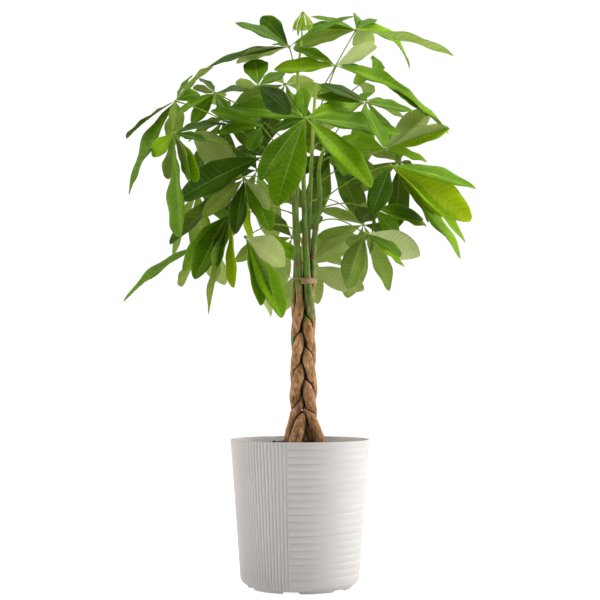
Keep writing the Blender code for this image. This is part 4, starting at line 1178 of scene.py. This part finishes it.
def stalk_path(trunk, height, hub, normal):
    """A leaf stalk from just off its trunk's skin, up and outwards, to the back of its knuckle."""
    path = plain_paths[trunk]
    height = min(height, path[-1].z - 0.004)
    centre = stem_at(path, height)
    seat = hub - normal * HUB_DEPTH * 0.3
    out = Vector((seat.x - centre.x, seat.y - centre.y, 0)).normalized()
    lift = UP * (seat - centre).xy.length * STALK_ARCH
    girth = stem_radius(height, path[-1].z) + STALK_GAP
    root = centre + out * (girth + STALK_RADIUS)
    chord = seat - root
    handle = chord * 0.33 + lift + out * 0.012
    way = handle.normalized()
    inset = STALK_RADIUS * sqrt(max(0.0, 1 - way.dot(out) ** 2))
    root = centre + out * (girth + 0.0002 + inset)
    side = way.cross(UP).normalized()
    other = side.cross(way)
    turns = [tau * k / 12 for k in range(12)]
    rim = [root + STALK_RADIUS * (side * cos(turn) + other * sin(turn)) for turn in turns]
    gap = min(trunk_skins[trunk].find_nearest(point)[3] for point in rim)
    root -= out * max(0.0, gap - STALK_SEAT)
    bend = root + chord * 0.7 + lift * 0.8 - normal * 0.01
    return interpolate_bezier(root, root + handle, bend, seat, STALK_STEPS)


print("trunk skins:", [len(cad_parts[f"stem_{k}"].data.polygons) for k in range(1, 6)], "faces")

# %% [markdown]
# ## Leaf finishes
# The upper side ranges from nearly black green to yellow green. The tone of each leaflet is kept in an
# attribute: it is partly the leaflet's age, darker when old and yellower when young, and partly painted
# light and shade, paler where the leaflet is lit or backlit and darker where it lies in shade. The midrib
# is paler. The very edge is paler too, partly its own colour and partly a painted glow of light through the
# thin rim. The side veins show mostly as a relief, and the blade between them carries a little painted
# shade. A leaf is thin enough for light to come through, so part of the surface is a translucent shader.
# The underside is a separate finish: duller, paler and with raised veins.

# %% Leaf finishes
def leaf_finish(name, tones, pale, roughness, gloss, relief, glow, polish=0.0):
    material, tree, shader = new_material(name, roughness)
    pattern = place_group(tree, veins)
    tone = add(tree, "ShaderNodeAttribute", attribute_name="tone").outputs["Fac"]
    cloud = mottled(tree, 0.035, 0.5)
    shifted = maths(tree, "ADD", tone, times(tree, maths(tree, "SUBTRACT", cloud, 0.5), 0.8))
    flesh = ramp(tree, shifted, tones)
    # Painted shade: the blade is darker midway between the side veins, where it bulges.
    shade = step(tree, pattern["Between"], 0.0, 1.0, 0.0, 0.14)
    flesh = blend(tree, shade, flesh, tuple(0.6 * value for value in tones[1][1]))
    flesh = blend(tree, times(tree, pattern["Veins"], 0.13), flesh, pale)
    # The very edge is paler: partly the margin's own colour, partly a painted glow of light through the
    # thin rim.
    flesh = blend(tree, times(tree, pattern["Edge"], 0.35), flesh, pale)
    rib = times(tree, pattern["Midrib"], step(tree, tone, 0.0, 0.4, 0.3, 0.65))
    flesh = blend(tree, rib, flesh, pale)
    feed(shader, "Base Color", flesh)
    feed(shader, "Specular IOR Level", gloss)
    feed(shader, "Roughness", step(tree, cloud, 0.2, 0.8, roughness - 0.07, roughness + 0.09))
    feed(shader, "Coat Roughness", 0.24)
    feed(shader, "Coat Weight", step(tree, tone, 0.04, 0.2, polish, 0.0))
    fine = times(tree, mottled(tree, 0.0016, 1.0), 0.12)
    ridge = maths(tree, "ADD", times(tree, pattern["Veins"], relief), fine)
    feed(shader, "Normal", bump(tree, ridge, 0.65, 0.0008))
    bright = blend(tree, 1.0, flesh, (1.0, 0.95, 0.3), mode="MULTIPLY")
    lit = add(tree, "ShaderNodeBsdfTranslucent", {"Color": bright}).outputs[0]
    mixed = add(tree, "ShaderNodeMixShader", {0: glow, 1: shader.outputs[0], 2: lit}).outputs[0]
    feed(tree.nodes["Material Output"], "Surface", mixed)
    return material


# %% Upper and lower side
# Each ramp runs from old to young leaflets and also from shaded to lit or backlit ones: the pale end is
# partly painted light.
UPPER_TONES = [(0.0, (0.030, 0.076, 0.004)), (0.25, (0.080, 0.200, 0.004)), (0.5, (0.20, 0.42, 0.006)),
               (0.75, (0.34, 0.60, 0.009)), (1.0, (0.56, 0.76, 0.012))]
UNDER_TONES = [(0.0, (0.06, 0.13, 0.006)), (0.25, (0.20, 0.32, 0.025)), (0.5, (0.47, 0.61, 0.10)),
               (0.75, (0.70, 0.80, 0.28)), (1.0, (0.90, 0.94, 0.54))]
leaf_upper = leaf_finish("leaf_upper", UPPER_TONES, (0.50, 0.68, 0.12), roughness=0.40, gloss=0.07,
                         relief=-0.8, glow=0.33, polish=0.1)
leaf_under = leaf_finish("leaf_under", UNDER_TONES, (0.64, 0.74, 0.34), roughness=0.55, gloss=0.08,
                         relief=0.9, glow=0.46)
print("leaf finishes:", len(leaf_upper.node_tree.nodes), "nodes each")

# %% [markdown]
# Leaf stalks are smooth and a lively green, a little streaked.

# %% Stalk finish
SAP_TONES = [(0.25, (0.13, 0.22, 0.02)), (0.5, (0.26, 0.38, 0.03)), (0.75, (0.42, 0.54, 0.06))]
stalk_green, tree, shader = new_material("stalk_green", 0.45)
feed(shader, "Base Color", ramp(tree, mottled(tree, 0.008, 1.2), SAP_TONES))
feed(shader, "Specular IOR Level", 0.2)
feed(shader, "Normal", bump(tree, mottled(tree, 0.001, 1.0), 0.2, 0.0003))
print("stalk finish:", stalk_green.name)

# %% [markdown]
# ## Lay all the fronds
# Each frond becomes two pieces: the leaflets, and the stalk with its knuckle. The leaflets are single
# sheets to begin with. A Solidify modifier gives them their thickness and puts the second finish on their
# lower side.

# %% Helpers for leaflets and stalks
LEAF_THICKNESS = 0.0005


def new_leaves():
    """A bmesh for leaflets, with a flat map and a tone at each vertex. Returns it and the tones' layer."""
    bm = bmesh.new()
    bm.loops.layers.uv.new("UVMap")
    return bm, bm.verts.layers.float.new("tone")


def leaf_piece(name, bm):
    bmesh.ops.remove_doubles(bm, verts=bm.verts, dist=1e-6)
    piece = finished(bm, name, leaf_upper, leaf_under)
    thicken = piece.modifiers.new("Thickness", "SOLIDIFY")
    thicken.thickness = LEAF_THICKNESS
    thicken.offset = 0
    thicken.material_offset = 1
    thicken.material_offset_rim = 0
    return piece


def stalk_piece(name, points, hub, normal):
    """A stalk that swells at both ends, with the knuckle that the leaflets spring from."""
    bm = bmesh.new()
    last = len(points) - 1
    swell = [0.35 * exp(-k / 1.5) + 0.3 * exp((k - last) / 1.2) for k in range(last + 1)]
    radii = [STALK_RADIUS * (0.92 + more) for more in swell]
    rod(bm, points, radii, 8)
    turn = Matrix.Translation(hub) @ normal.to_track_quat("Z", "Y").to_matrix().to_4x4()
    shape = turn @ Matrix.Diagonal((1, 1, HUB_SQUASH, 1))
    bmesh.ops.create_uvsphere(bm, u_segments=14, v_segments=8, radius=HUB_RADIUS, matrix=shape)
    return finished(bm, name, stalk_green)


# %% Lay all the fronds
AGE_SPREAD = 0.03
laid = 0
for number, (trunk, height, hub, lean, facing, droop, tones_by_age_and_light, blades) in enumerate(FRONDS, 1):
    name = f"frond_{number:02d}"
    normal = fan_frame(lean, facing)[0]
    hub = Vector(part / 1000 for part in hub)
    near = corners(name)
    bm, layer = new_leaves()
    draw = random.Random(name)
    for k, blade in enumerate(blades or wheel(name, lean, facing)):
        # The tone is partly the leaflet's age and partly painted light and shade.
        tone = tones_by_age_and_light[k % len(tones_by_age_and_light)] / 100 + draw.uniform(-AGE_SPREAD, AGE_SPREAD)
        root, settled, own_droop = settle(hub, blade, droop, near)
        lay_leaflet(bm, layer, root, settled, own_droop, normal, tone, f"{name} {k}")
        laid += 1
    dress(leaf_piece(f"{name}_leaflets", bm), "leaf", name)
    stalk = stalk_piece(f"{name}_stalk", stalk_path(trunk, height / 1000, hub, normal), hub, normal)
    dress(stalk, "leaf", name)
print("leaflets laid:", laid)

# %% [markdown]
# ## The youngest leaf
# At the tip of the tallest shoot a new leaf is opening. Its leaflets are narrow, yellow green, and still
# hang around the stalk like a closed umbrella.

# %% The youngest leaf
YOUNG_LEAFLETS = 10
YOUNG_TONE = 0.88
tip = plain_paths[3][-1]
hub = Vector((0.0055, 0.0, 1.0555))
bm, layer = new_leaves()
for k in range(YOUNG_LEAFLETS):
    azimuth = 36 * k + 12
    root = hub + heading(azimuth, -20) * 0.0035
    blade = (azimuth, -48 - 10 * (k % 2), 0.042 - 0.004 * (k % 3), 0)
    lay_leaflet(bm, layer, root, blade, 50, UP, YOUNG_TONE, f"young {k}", BLADE_WIDTH * 0.5, fold=24)
dress(leaf_piece("young_leaflets", bm), "leaf", "young_leaf")
points = catmull([tip + Vector((0, 0, 0.0005)), tip + Vector((-0.001, 0, 0.018)), hub], 0.003)
dress(stalk_piece("young_stalk", points, hub, UP), "leaf", "young_leaf")

# %% [markdown]
# ## Sizes
# The finished piece is meant to fill the same box as the solid model. Both boxes are set side by side, and
# the finished size is printed.

# %% Sizes
finished_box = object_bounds()
sizes = {"solid": [list(map(float, corner)) for corner in solid_box],
         "finished": [list(map(float, corner)) for corner in finished_box]}
print("finished:", [round(b - a, 3) for a, b in zip(*finished_box)], "m")
